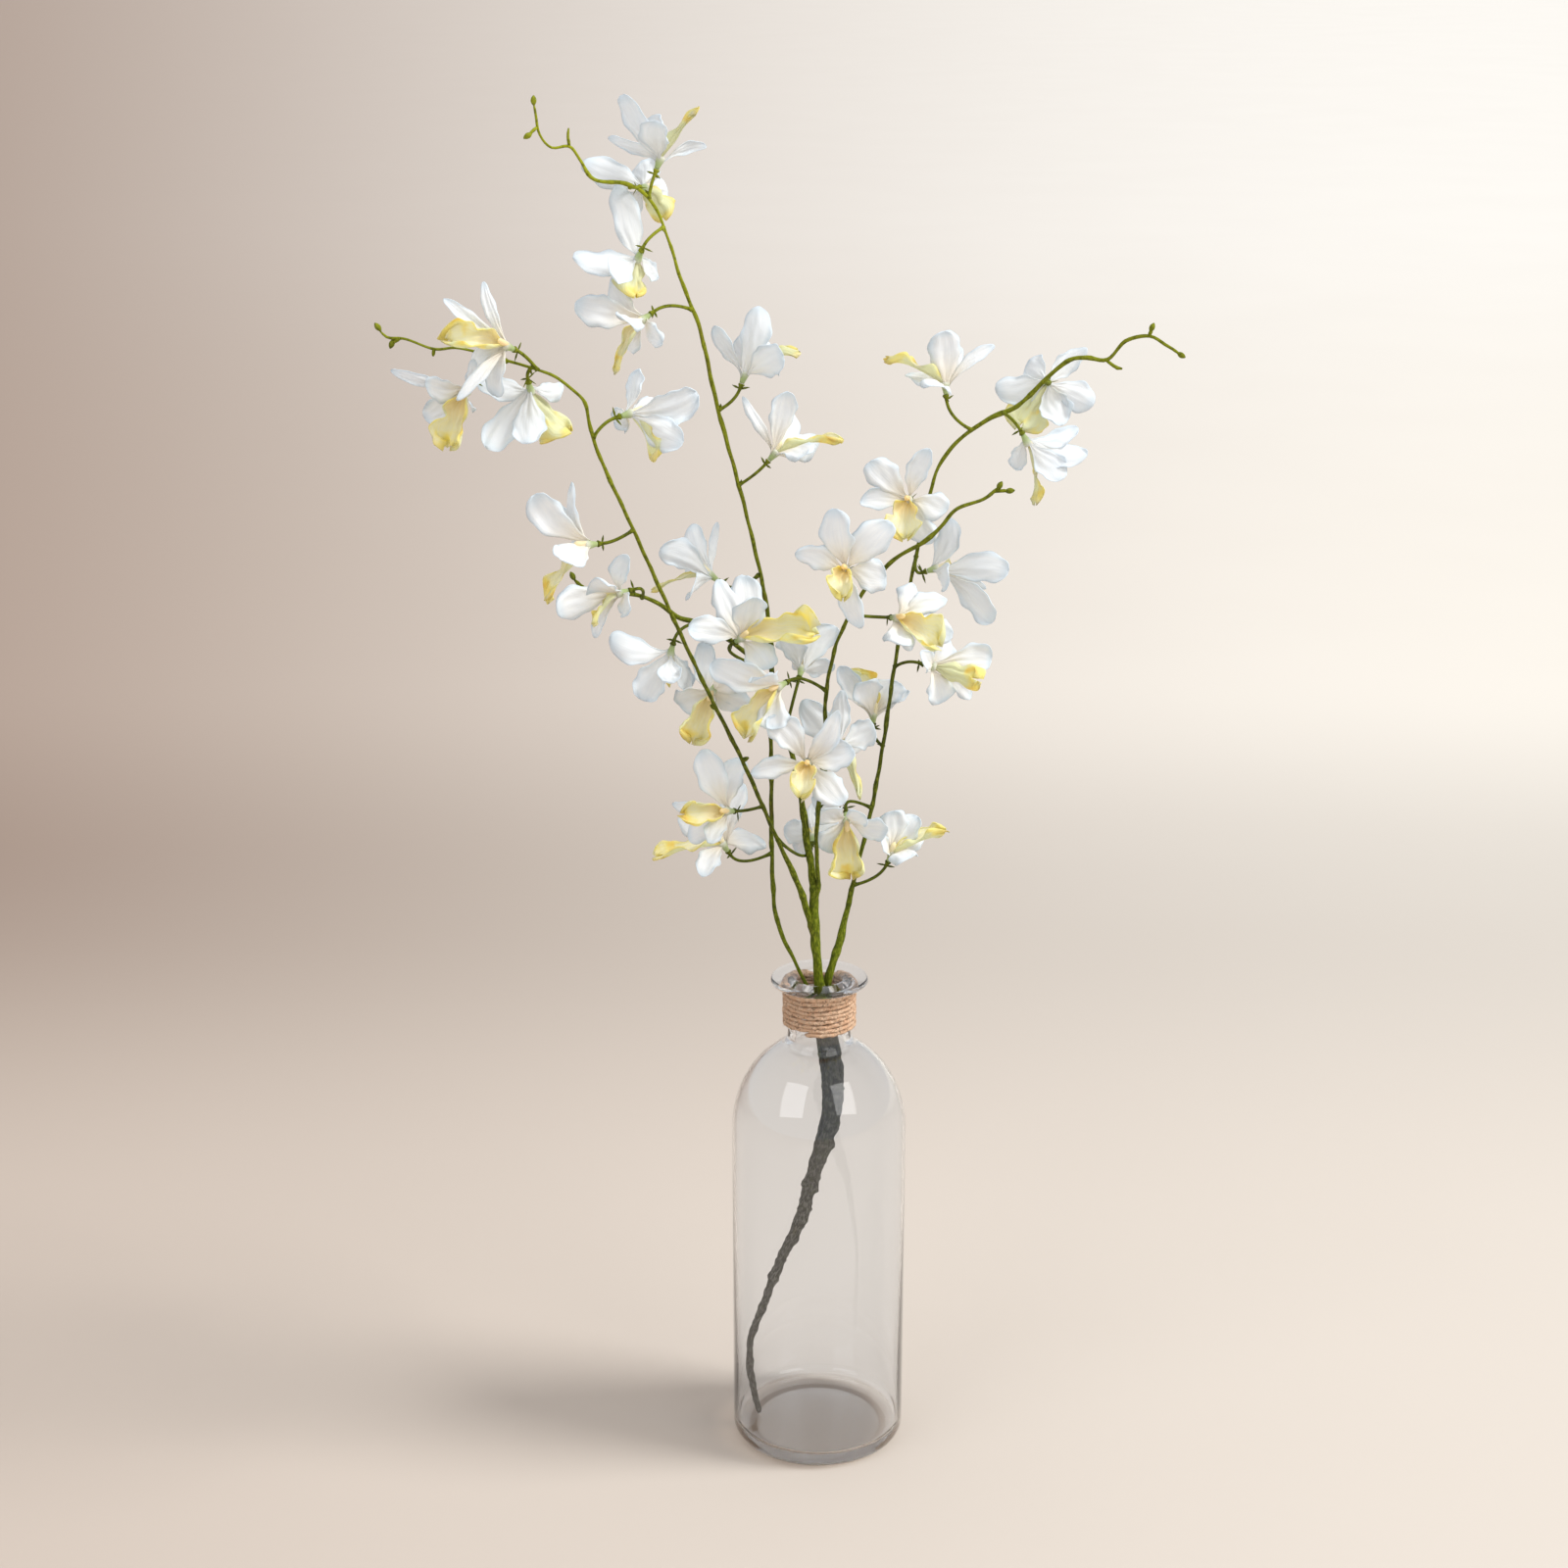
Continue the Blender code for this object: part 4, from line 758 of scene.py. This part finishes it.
make_stem("right_stem", "stem_right", [RIGHT, RIGHT_STUB, RIGHT_SIDE_TIP], RIGHT_BUDS,
          [(RIGHT_BLOOMS, RIGHT)], 500)


# Petals of the blooms. Thin heat-formed silk, white with fine lengthwise veins, cool and a
# little see-through at the edges and warm at the throat. Five spread from a short green spur.
SPUR_LENGTH = 6.5
SPUR_FULL_LENGTH = 60.0
HEART_DEPTH = 4.0
ROOT_OFFSET = 1.4
LAYER = 0.8
PETAL_THICKNESS = 0.32
PETAL_ROWS = 25
PETAL_COLUMNS = 17
FOLDS = (-0.62, -0.22, 0.18, 0.6)
SPREAD_TO_FRONT = 1.2
FRONT = np.array((0.0, -1.0, 0.2))
SPUR_SHADE = 2.0
SILK_WHITE = (0.98, 0.985, 0.98)
VEIN_WHITE = (0.93, 0.945, 0.96)
CLOUD_WHITE = (0.88, 0.90, 0.92)
EDGE_BLUE = (0.71, 0.82, 0.90)
BACK_BLUE = (0.82, 0.88, 0.93)
THROAT_CREAM = (0.98, 0.90, 0.77)
SPUR_GREEN = (0.50, 0.60, 0.28)


def petal_sheet(root, tip, face, width, blunt, camber, twist, draw):
    """Points of a petal over s from root to tip and t across, from -1 to 1.

    The midline is a quadratic curve that leaves the root leaning towards the face, and it
    swings a little aside as a sine. The half-width rises from a narrow claw as a power of a
    sine and closes as a power of 1 - s**blunt, a little wider on one side. The sides rise by
    camber times t squared and the blade turns with s. Four lengthwise folds are bell curves
    of t, the outer edge rolls back with the square of its last third and waves as a sine of
    s, the end is cut a little aslant, and the tip curls with s to the fourth.
    """
    reach = tip - root
    size = np.linalg.norm(reach)
    bend = root + 0.24 * size * face + 0.34 * reach
    s, t = np.meshgrid(np.linspace(0.0, 1.0, PETAL_ROWS) ** 0.85 * 0.998,
                       np.linspace(-1, 1, PETAL_COLUMNS), indexing="ij")
    s = s[:, :, None]
    t = t[:, :, None]
    spread = FRONT if face.dot(FRONT) > 0.0 else -FRONT
    across = unit(np.cross(face + SPREAD_TO_FRONT * spread, reach))
    midline = (1 - s) ** 2 * root + 2 * s * (1 - s) * bend + s ** 2 * tip
    midline = midline + across * draw.uniform(-0.10, 0.10) * size * np.sin(np.pi * s ** 1.3)
    along = 2 * (1 - s) * (bend - root) + 2 * s * (tip - bend)
    along = along / np.linalg.norm(along, axis=2, keepdims=True)
    inward = np.cross(along, across)
    turn = twist * s + draw.uniform(-0.4, 0.4) * s ** 3
    side = across * np.cos(turn) + inward * np.sin(turn)
    raised = inward * np.cos(turn) - across * np.sin(turn)
    crown, claw = draw.uniform(1.25, 1.75), draw.uniform(1.3, 2.3)
    half = 0.07 + 0.93 * np.sin(0.5 * math.pi * np.minimum(crown * s, 1.0)) ** claw
    half = draw.uniform(0.92, 1.08) * width / 2 * half
    half = half * np.clip(1.0 - s ** (blunt + draw.uniform(-0.6, 1.8)), 0.0,
                          1.0) ** draw.uniform(0.36, 0.62)
    rates = draw.uniform(1.1, 2.4, 2)
    phases = draw.uniform(0, 2 * np.pi, 4)
    wave = np.where(t > 0, np.sin(2 * np.pi * rates[0] * s + phases[0]),
                    np.sin(2 * np.pi * rates[1] * s + phases[1]))
    edge = 1 + 0.07 * np.sin(2 * np.pi * (rates[0] + 1.7) * s + phases[2] + 2 * t) * np.abs(t)
    edge = edge + draw.uniform(-0.16, 0.16) * t * np.sin(np.pi * s)
    lift = camber * half * (t ** 2 - 0.5)
    body = np.sin(np.pi * np.minimum(s + 0.06, 1.0)) ** 0.6
    for middle, rise in zip(FOLDS, draw.uniform(-0.75, 0.75, len(FOLDS))):
        middle = middle + draw.uniform(-0.12, 0.12) + 0.10 * np.sin(3 * s + phases[3])
        lift = lift + rise * np.exp(-((t - middle) / 0.14) ** 2) * body
    rolled = np.clip(np.abs(t) - 0.60, 0.0, 1.0) ** 2 / 0.16
    lift = lift + half * rolled * (draw.uniform(-0.55, 0.10) + 0.30 * wave * s)
    lift = lift + draw.uniform(-0.10, 0.17) * size * s ** 4
    crease = np.sin(8 * t + 4 * s + phases[0]) * np.sin(10 * s + 3 * t + phases[1])
    slant = draw.uniform(-0.32, 0.32) * half * t * s ** 2
    return (midline + side * half * t * edge + along * slant
            + raised * (lift + 0.28 * crease * body))


def blade(sheet, thickness, shade):
    """A thin closed blade from a grid of points: the grid moved half the thickness to each
    side along its normals, and joined round its border. Its place is (t, s), and inner is 1 on
    the side that faces the bloom's heart."""
    rows, columns = sheet.shape[:2]
    normal = np.cross(np.gradient(sheet, axis=0), np.gradient(sheet, axis=1))
    normal /= np.maximum(np.linalg.norm(normal, axis=2, keepdims=True), 1e-9)
    upper = (sheet + normal * thickness / 2).reshape(-1, 3)
    lower = (sheet - normal * thickness / 2).reshape(-1, 3)
    index = np.arange(rows * columns).reshape(rows, columns)
    quads = np.stack([index[:-1, :-1], index[1:, :-1], index[1:, 1:], index[:-1, 1:]],
                     -1).reshape(-1, 4)
    border = np.concatenate([index[0, :-1], index[:-1, -1], index[-1, :0:-1], index[:0:-1, 0]])
    after = np.roll(border, -1)
    count = rows * columns
    rim = np.stack([border, after, after + count, border + count], 1)
    s, t = np.meshgrid(np.linspace(0, 1, rows), np.linspace(0, 1, columns), indexing="ij")
    uv = np.stack([t.ravel(), s.ravel()], 1)
    return (np.concatenate([upper, lower]),
            quads.tolist() + (quads[:, ::-1] + count).tolist() + rim.tolist(),
            np.concatenate([uv, uv]), np.concatenate([np.ones(count), np.zeros(count)]),
            np.full(2 * count, shade))


def core_tube(path, radius, sides, full_length, inner, shade):
    """A plain round tube with the numbers that a blade has. Its place is the middle and the
    length along as a share of full_length."""
    points, faces, uv, _tone = tube(path, radius, np.ones((len(path), sides)))
    count = len(uv)
    place = np.stack([np.full(count, 0.5), uv[:, 1] / full_length], 1)
    return points, faces, place, np.full(count, inner), np.full(count, shade)


def bloom_frame(row):
    """A bloom's seat on its calyx, the way that it faces, and the heart in front of it."""
    seat, face = np.array(row[1], float), unit(row[2])
    return seat, face, seat + face * HEART_DEPTH


def spur_part(seat, face):
    """The short neck behind a bloom: a cone with a rounded swell, pale green at its foot."""
    share = np.linspace(0.0, 1.0, 9)
    path = seat + np.outer(GAP + share * SPUR_LENGTH, face)
    radius = 1.25 + 1.55 * share ** 1.3 - 0.9 * np.clip(share - 0.82, 0, 1) / 0.18
    return core_tube(path, radius, 12, SPUR_FULL_LENGTH, 0.5, SPUR_SHADE)


def silk_veins():
    """The node group of the silk: fine veins as noise stretched from root to tip, how far
    aside of the midline a place is, and its share of the way to the tip."""
    group = bpy.data.node_groups.new("silk_veins", "ShaderNodeTree")
    for side, names in (("INPUT", ("Across", "Along", "Offset", "Detail", "Roughness")),
                        ("OUTPUT", ("Vein", "Aside", "Way"))):
        for name in names:
            group.interface.new_socket(name, in_out=side, socket_type="NodeSocketFloat")
    nodes = Nodes(group)
    given = nodes.add("NodeGroupInput").outputs
    _place, across, way = nodes.surface_place()
    stretched = nodes.add("ShaderNodeCombineXYZ", {0: nodes.times(across, given["Across"]),
                                                   1: nodes.times(way, given["Along"]),
                                                   2: given["Offset"]})
    vein = nodes.noise(stretched.outputs[0], 1.0, given["Detail"], given["Roughness"])
    aside = nodes.maths("ABSOLUTE", nodes.maths("MULTIPLY_ADD", across, 2.0, -1.0))
    nodes.add("NodeGroupOutput", {"Vein": vein, "Aside": aside, "Way": way})
    return group


SILK_VEINS = silk_veins()


def silk_surface(nodes, shader, output, colour, bump, through_share):
    """The silk's own surface, mixed with the light that passes through it."""
    nodes.feed(shader, {"Base Color": colour, "Normal": bump})
    through = nodes.add("ShaderNodeBsdfTranslucent", {"Color": colour, "Normal": bump})
    mixed_surface(nodes, output, through_share, shader, through)


def petal_silk():
    """White silk. The edges turn cool and thin, the backs cooler than the faces, the root
    warm, and the spur green; light passes through."""
    material, nodes, shader, output = new_material("petal_white_silk", {
        "Roughness": 0.46, "Specular IOR Level": 0.4, "Sheen Weight": 0.1})
    inner, shade = nodes.mark("inner"), nodes.mark("shade")
    veins = nodes.add("ShaderNodeGroup", {
        "Across": 17.0, "Along": 1.8, "Offset": nodes.times(shade, 37.0), "Detail": 4.0,
        "Roughness": 0.65}, node_tree=SILK_VEINS).outputs
    vein, aside, way = veins["Vein"], veins["Aside"], veins["Way"]
    where = nodes.object_place()
    cloud = nodes.noise(where, 75.0, 2.0)
    weave = nodes.noise(where, 1800.0, 1.0)
    edge = nodes.maths("MAXIMUM", nodes.ramp(aside, 0.62, 1.0), nodes.ramp(way, 0.78, 1.0))
    back = nodes.times(nodes.maths("SUBTRACT", 1.0, inner), 0.35)
    warm = nodes.times(nodes.ramp(way, 0.60, 0.08, 0.0, 0.8), inner)
    spur = nodes.times(nodes.ramp(shade, 1.4, 1.6), nodes.ramp(way, 0.13, 0.03))
    white = nodes.coats(SILK_WHITE, (nodes.ramp(vein, 0.34, 0.70), VEIN_WHITE),
                        (nodes.ramp(cloud, 0.46, 0.74, 0.0, 0.45), CLOUD_WHITE),
                        (nodes.times(edge, 0.6), EDGE_BLUE), (back, BACK_BLUE),
                        (warm, THROAT_CREAM), (spur, SPUR_GREEN))
    bump = nodes.bump(nodes.maths("MULTIPLY_ADD", weave, 0.12, vein), 0.35, 0.0006)
    silk_surface(nodes, shader, output, white, bump, 0.40)
    return material


PETAL_MATERIAL = petal_silk()


def make_petals(name, row, seed):
    """The five petals and the spur of one bloom. The first draws are those that its solid
    uses, and finer ones come from a second source. Handed on is where the lip's frill starts."""
    draw = random.Random(seed)
    finer = np.random.default_rng(seed)
    seat, face, heart = bloom_frame(row)
    parts = [spur_part(seat, face)]
    for i, ((width, blunt), *reach) in enumerate(row[5:]):
        tip = seat + np.array(reach, float)
        outward = unit((tip - heart) - (tip - heart).dot(face) * face)
        root = heart + outward * ROOT_OFFSET + face * LAYER * (i % 3 - 1)
        camber, twist = draw.uniform(0.12, 0.40), math.radians(draw.uniform(-24, 24))
        sheet = petal_sheet(root, tip, face, width, blunt, camber, twist, finer)
        parts.append(blade(sheet, PETAL_THICKNESS, finer.uniform(0.0, 1.0)))
    points, faces, uv, inner, shade = joined(parts)
    new_piece(f"{name}_petals", points, faces, PETAL_MATERIAL, [name], uv=uv,
              marks={"inner": inner, "shade": shade})
    return draw.uniform(0.0, 2 * math.pi)


# Lips of the blooms. One heat-formed piece in each, pale lemon with a yellow-orange frilled
# edge and a greenish back, folded into a trumpet round the small column at the heart.
LIP_THICKNESS = 0.36
LIP_ROOT = 1.3
LIP_ROWS = 34
LIP_COLUMNS = 27
LIP_FULLNESS = 1.36
TRUMPET_ANGLE = 140.0
OPENING_ANGLE = 86.0
CUP_ANGLE = 62.0
COLUMN_LENGTH = 6.0
COLUMN_FULL_LENGTH = 70.0 / 3
PALE_LEMON = (1.0, 0.97, 0.80)
VEIN_LEMON = (1.0, 0.945, 0.66)
BACK_GREEN = (0.76, 0.85, 0.54)
# Gold of the throat: a little is the lip's own colour, more is painted light in blooms that face
# the front.
THROAT_GOLD_AND_PAINTED_LIGHT = (1.0, 0.77, 0.36)
RIM_YELLOW = (1.0, 0.89, 0.23)
RIM_ORANGE = (0.98, 0.64, 0.05)


def lip_sheet(root, tip, face, mouth, phase, draw):
    """Points of the lip over s from root to mouth and t across, shaped as a folded fiddle.

    Its half-width is a sine rise to two side lobes, one a little larger, then a bell-shaped
    waist and a flare, closed at the end by a root of 1 - s to a power. The section is an arc
    of that width that opens towards the face. Its angle falls with s, so that it starts as a
    trumpet, and it stays a cup in a bloom that faces the front. A lip much longer than its
    mouth narrows to a tail. The edge is cut into uneven teeth and ruffles as sines of s and
    t, and the end bends back with s to the fourth.
    """
    axis = unit(tip - root)
    length = np.linalg.norm(tip - root)
    opening = unit(face - face.dot(axis) * axis)
    across = np.cross(axis, opening)
    s, t = np.meshgrid(np.linspace(0.0, 1.0, LIP_ROWS) ** 0.8,
                       np.linspace(-1, 1, LIP_COLUMNS), indexing="ij")
    phases = draw.uniform(0, 2 * np.pi, 5)
    waist, flare = draw.uniform(0.08, 0.36), draw.uniform(0.05, 0.35)
    squareness, corner = draw.uniform(4.5, 9.0), draw.uniform(-0.05, 0.16)
    larger = draw.uniform(-0.24, 0.24)
    away = np.abs(t)
    past = np.clip((s - 0.5) / 0.5, 0.0, 1.0)
    lobes = np.exp(-((s - 0.5) / 0.2) ** 2)
    half = 0.16 + 0.84 * np.sin(0.5 * np.pi * np.minimum(s / 0.46, 1.0)) ** 1.7
    half = half * (1 - waist * np.exp(-((s - 0.60) / 0.09) ** 2))
    half = half * (1 + flare * np.clip((s - 0.62) / 0.25, 0.0, 1.0))
    half = half * np.sqrt(np.clip(1.0 - 0.985 * past ** squareness, 0.0, 1.0))
    slender = np.clip((length / mouth - 3.2) / 1.2, 0.0, 1.0)
    half = half * (1 - 0.62 * slender * np.clip((s - 0.30) / 0.4, 0.0, 1.0) ** 1.5)
    half = LIP_FULLNESS * mouth * half * (1 + larger * np.tanh(3 * t))
    teeth = np.sin(21 * s + phases[0] + 2.0 * np.sign(t)) + 0.7 * np.sin(34 * s + phases[4] * t)
    half = half * (1 + 0.09 * teeth * s * away ** 2)
    cupped = CUP_ANGLE * np.clip((face.dot(axis) - 0.6) / 0.3, 0.0, 1.0)
    angle = np.radians(TRUMPET_ANGLE - (OPENING_ANGLE - cupped) * s ** 1.1)
    radius = half / angle
    ruffle = 0.30 * mouth * away ** 3 * s * np.sin(15.0 * s + phase + 1.3 * np.sign(t))
    ruffle = ruffle + 0.16 * mouth * s ** 4 * np.sin(7.0 * t + phases[1])
    low = radius * (1 - np.cos(angle * t)) - 0.35 * mouth * s ** 0.8 + ruffle
    low = low - 0.16 * length * s ** 4 - 0.34 * mouth * away ** 4 * lobes
    low = low + 0.14 * mouth * np.exp(-((away - 0.16) / 0.07) ** 2) * np.sin(np.pi * s)
    low = low + 0.05 * mouth * np.sin(9 * s + phases[3]) * np.sin(6 * t + phases[2])
    side = radius * np.sin(angle * t)
    run = length * (s + 0.07 * s ** 5 * np.sin(11 * t + phases[2]) + corner * s ** 5 * away ** 2
                    - 0.05 * lobes * away ** 2)
    return (root + run[:, :, None] * axis + low[:, :, None] * opening
            + side[:, :, None] * across)


def column_part(heart, face, opening):
    """The column: a short curved rod over the throat, its end a rounded cap."""
    share = np.linspace(0.0, 1.0, 9)
    path = (heart + np.outer(1.0 + COLUMN_LENGTH * share, face)
            + np.outer(1.2 + 1.0 * share ** 2, opening))
    radius = 1.25 * np.sqrt(np.clip(1.02 - share ** 6, 0, 1)) * (1 + 0.25 * share)
    return core_tube(path, radius, 10, COLUMN_FULL_LENGTH, 1.0, 0.5)


def lip_silk():
    """Lemon silk. The colour deepens to yellow-orange at the frilled edge and in the throat,
    in patches, and the back is a paler green-yellow; light passes through. The throat is
    painted deeper orange as painted light the more its bloom faces the front."""
    material, nodes, shader, output = new_material("lip_yellow_silk", {
        "Roughness": 0.48, "Specular IOR Level": 0.35, "Sheen Weight": 0.1})
    veins = nodes.add("ShaderNodeGroup", {
        "Across": 30.0, "Along": 3.0, "Offset": 0.0, "Detail": 3.0, "Roughness": 0.5},
        node_tree=SILK_VEINS).outputs
    vein, aside, way = veins["Vein"], veins["Aside"], veins["Way"]
    inner, painted_glow = nodes.mark("inner"), nodes.mark("painted_glow")
    patch = nodes.noise(nodes.object_place(), 95.0, 2.0)
    spread = nodes.times(nodes.maths("SUBTRACT", patch, 0.5), 1.5)
    rim = nodes.maths("MAXIMUM", nodes.ramp(nodes.maths("ADD", aside, spread), 0.68, 1.04),
                      nodes.ramp(nodes.maths("ADD", way, spread), 0.72, 1.04))
    back = nodes.times(nodes.maths("SUBTRACT", 1.0, inner), 0.55)
    # Throat colour: a little of the lip's own gold, and more painted light in blooms that face the
    # front.
    throat = nodes.times(inner, nodes.maths("MULTIPLY_ADD", painted_glow, 0.65, 0.15))
    throat = nodes.times(throat, nodes.ramp(way, 0.70, 0.10))
    deep = nodes.times(rim, nodes.ramp(patch, 0.56, 0.70, 0.0, 0.42))
    lemon = nodes.coats(PALE_LEMON, (nodes.ramp(vein, 0.38, 0.68), VEIN_LEMON),
                        (back, BACK_GREEN), (throat, THROAT_GOLD_AND_PAINTED_LIGHT),
                        (nodes.times(rim, 0.7), RIM_YELLOW), (deep, RIM_ORANGE))
    silk_surface(nodes, shader, output, lemon, nodes.bump(vein, 0.7, 0.0006), 0.46)
    return material


LIP_MATERIAL = lip_silk()


def make_lip(name, row, seed, phase):
    """The lip and the column of one bloom. Its throat is painted more orange, as painted light,
    the more it faces the front.
    """
    seat, face, heart = bloom_frame(row)
    root, tip = heart + face * LIP_ROOT, seat + np.array(row[3], float)
    axis = unit(tip - root)
    opening = unit(face - face.dot(axis) * axis)
    sheet = lip_sheet(root, tip, face, row[4], phase, np.random.default_rng(seed + 900))
    points, faces, uv, inner, _shade = joined([blade(sheet[:, ::-1], LIP_THICKNESS, 0.5),
                                               column_part(heart, face, opening)])
    # Painted light: the throat is painted more orange the more the bloom faces the front, towards
    # minus Y.
    painted_glow = np.full(len(inner), np.clip(-1.6 * face[1] - 0.4, 0.0, 1.0))
    new_piece(f"{name}_lip", points, faces, LIP_MATERIAL, [name], uv=uv,
              marks={"inner": inner, "painted_glow": painted_glow})


bloom_seed = 11
for branch, table in (("tall", TALL_BLOOMS), ("left", LEFT_BLOOMS), ("arch", ARCH_BLOOMS),
                      ("middle", MIDDLE_BLOOMS), ("right", RIGHT_BLOOMS)):
    for number, row in enumerate(table, 1):
        bloom = f"bloom_{branch}_{number}"
        lip_phase = make_petals(bloom, row, bloom_seed)
        make_lip(bloom, row, bloom_seed, lip_phase)
        bloom_seed += 1


# Floor, light and camera. A pale floor with light and shade painted on it, under soft studio
# light, seen from a little above, as the photograph shows it.
FLOOR_HALF = 40
# Painted light and shade on the floor: the shaded left, the lit right and the lit far back.
FLOOR_PAINTED_SHADE_LEFT = (0.305, 0.225, 0.182)
FLOOR_PAINTED_LIGHT_RIGHT = (0.735, 0.695, 0.635)
FLOOR_FAR_PAINTED_LIGHT = (0.86, 0.86, 0.85)
# Painted shade: a darker, browner floor towards the front.
FLOOR_NEAR_PAINTED_SHADE = (0.50, 0.432, 0.375)
# Painted shade: the soft darker band across the floor behind the bottle.
FLOOR_BAND_PAINTED_SHADE = (0.08, 0.04, 0.02)
FLOOR_MOTTLE = (0.36, 0.30, 0.25)
LAMP_TARGET = (0.0, 0.0, 0.35)
DAYLIGHT_PLACE = (2.0, -0.3, 2.1)
DAYLIGHT_DIRECTION = (-0.66, 0.10, -0.70)
SKY_COLOUR = (0.93, 0.95, 0.98)
SKY_STRENGTH = 0.65
CAMERA_PLACE = (-0.01905, -1.40566, 0.83973)
CAMERA_PITCH = 18.0
CAMERA_LENS = 64.575


def studio_floor():
    """Matt pale beige with the slightest mottling, and light and shade painted on it: paler to
    the right as painted light, in a painted shade that widens towards the back, paler far back,
    darker and browner towards the front, and a soft darker band of painted shade crosses the
    floor behind the bottle."""
    material, nodes, shader, _output = new_material("floor_pale", {
        "Roughness": 0.9, "Specular IOR Level": 0.1})
    where = nodes.object_place()
    cloud = nodes.noise(where, 3.0, 2.0)
    parts = nodes.add("ShaderNodeSeparateXYZ", {0: where})
    depth = parts.outputs[1]
    # Painted light: paler to the right over a width that grows with depth, and paler far back on
    # the right.
    beyond = nodes.maths("MAXIMUM", nodes.maths("SUBTRACT", depth, 1.0), 0.0)
    across = nodes.maths("DIVIDE", parts.outputs[0],
                         nodes.maths("MULTIPLY_ADD", beyond, 0.35, 1.0))
    painted_light_across = nodes.ramp(across, -1.1, 0.75)
    far = nodes.times(painted_light_across, nodes.ramp(depth, 1.5, 6.0, 0.0, 0.35))
    # Painted shade: a soft darker band across the floor behind the bottle.
    band = nodes.times(nodes.ramp(depth, 1.55, 0.88), nodes.ramp(depth, 0.25, 0.82))
    pale = nodes.coats(FLOOR_PAINTED_SHADE_LEFT, (painted_light_across, FLOOR_PAINTED_LIGHT_RIGHT), (far, FLOOR_FAR_PAINTED_LIGHT),
                       (nodes.ramp(depth, 1.0, 0.3, 0.0, 0.5), FLOOR_NEAR_PAINTED_SHADE),
                       (nodes.times(band, 0.24), FLOOR_BAND_PAINTED_SHADE),
                       (nodes.times(cloud, 0.06), FLOOR_MOTTLE))
    nodes.feed(shader, {"Base Color": pale})
    return material


def placed(name, data, location):
    """A new object for a mesh, a lamp or a lens, at a place in the scene."""
    made = bpy.data.objects.new(name, data)
    bpy.context.scene.collection.objects.link(made)
    made.location = location
    return made


def softbox(name, place, size, power, colour, roll):
    """A rectangular studio lamp that looks from its place to the target, turned on its axis."""
    lamp = bpy.data.lights.new(name, "AREA")
    lamp.shape = "RECTANGLE"
    lamp.size, lamp.size_y = size
    lamp.energy = power
    lamp.color = colour
    look = mathutils.Vector(LAMP_TARGET) - mathutils.Vector(place)
    spin = mathutils.Quaternion((0.0, 0.0, 1.0), math.radians(roll))
    placed(name, lamp, place).rotation_euler = (look.to_track_quat("-Z", "Y") @ spin).to_euler()


floor_mesh = bpy.data.meshes.new("studio_floor")
floor_corners = [(x * FLOOR_HALF, y * FLOOR_HALF, 0)
                 for x, y in ((-1, -1), (1, -1), (1, 1), (-1, 1))]
floor_mesh.from_pydata(floor_corners, [], [(0, 1, 2, 3)])
floor_mesh.materials.append(studio_floor())
floor = placed("studio_floor", floor_mesh, (0.0, 0.0, 0.0))

softbox("key_softbox", (1.5, -1.5, 1.9), (1.4, 1.7), 14.0, (1.0, 0.99, 0.97), -14)
softbox("fill_softbox", (-1.45, -1.4, 1.7), (1.5, 1.7), 13.5, (0.97, 0.98, 1.0), 14)
window = bpy.data.lights.new("broad_daylight", "SUN")
window.angle = math.radians(22.0)
window.energy = 3.1
window.color = (1.0, 0.985, 0.96)
daylight = placed("broad_daylight", window, DAYLIGHT_PLACE)
daylight.visible_glossy = False
daylight.visible_transmission = False
daylight.rotation_euler = mathutils.Vector(DAYLIGHT_DIRECTION).to_track_quat("-Z", "Y").to_euler()

world = bpy.data.worlds.new("studio_air")
bpy.context.scene.world = world
world.use_nodes = True
Nodes(world.node_tree).feed(world.node_tree.nodes["Background"], {"Color": SKY_COLOUR,
                                                                  "Strength": SKY_STRENGTH})

lens = bpy.data.cameras.new("studio_camera")
lens.sensor_width = 36.0
lens.lens = CAMERA_LENS
lens.clip_start = 0.05
lens.clip_end = 200.0
camera = placed("studio_camera", lens, CAMERA_PLACE)
camera.rotation_euler = (math.radians(90.0 - CAMERA_PITCH), 0.0, 0.0)
bpy.context.scene.camera = camera
bpy.context.scene.view_settings.view_transform = "Standard"
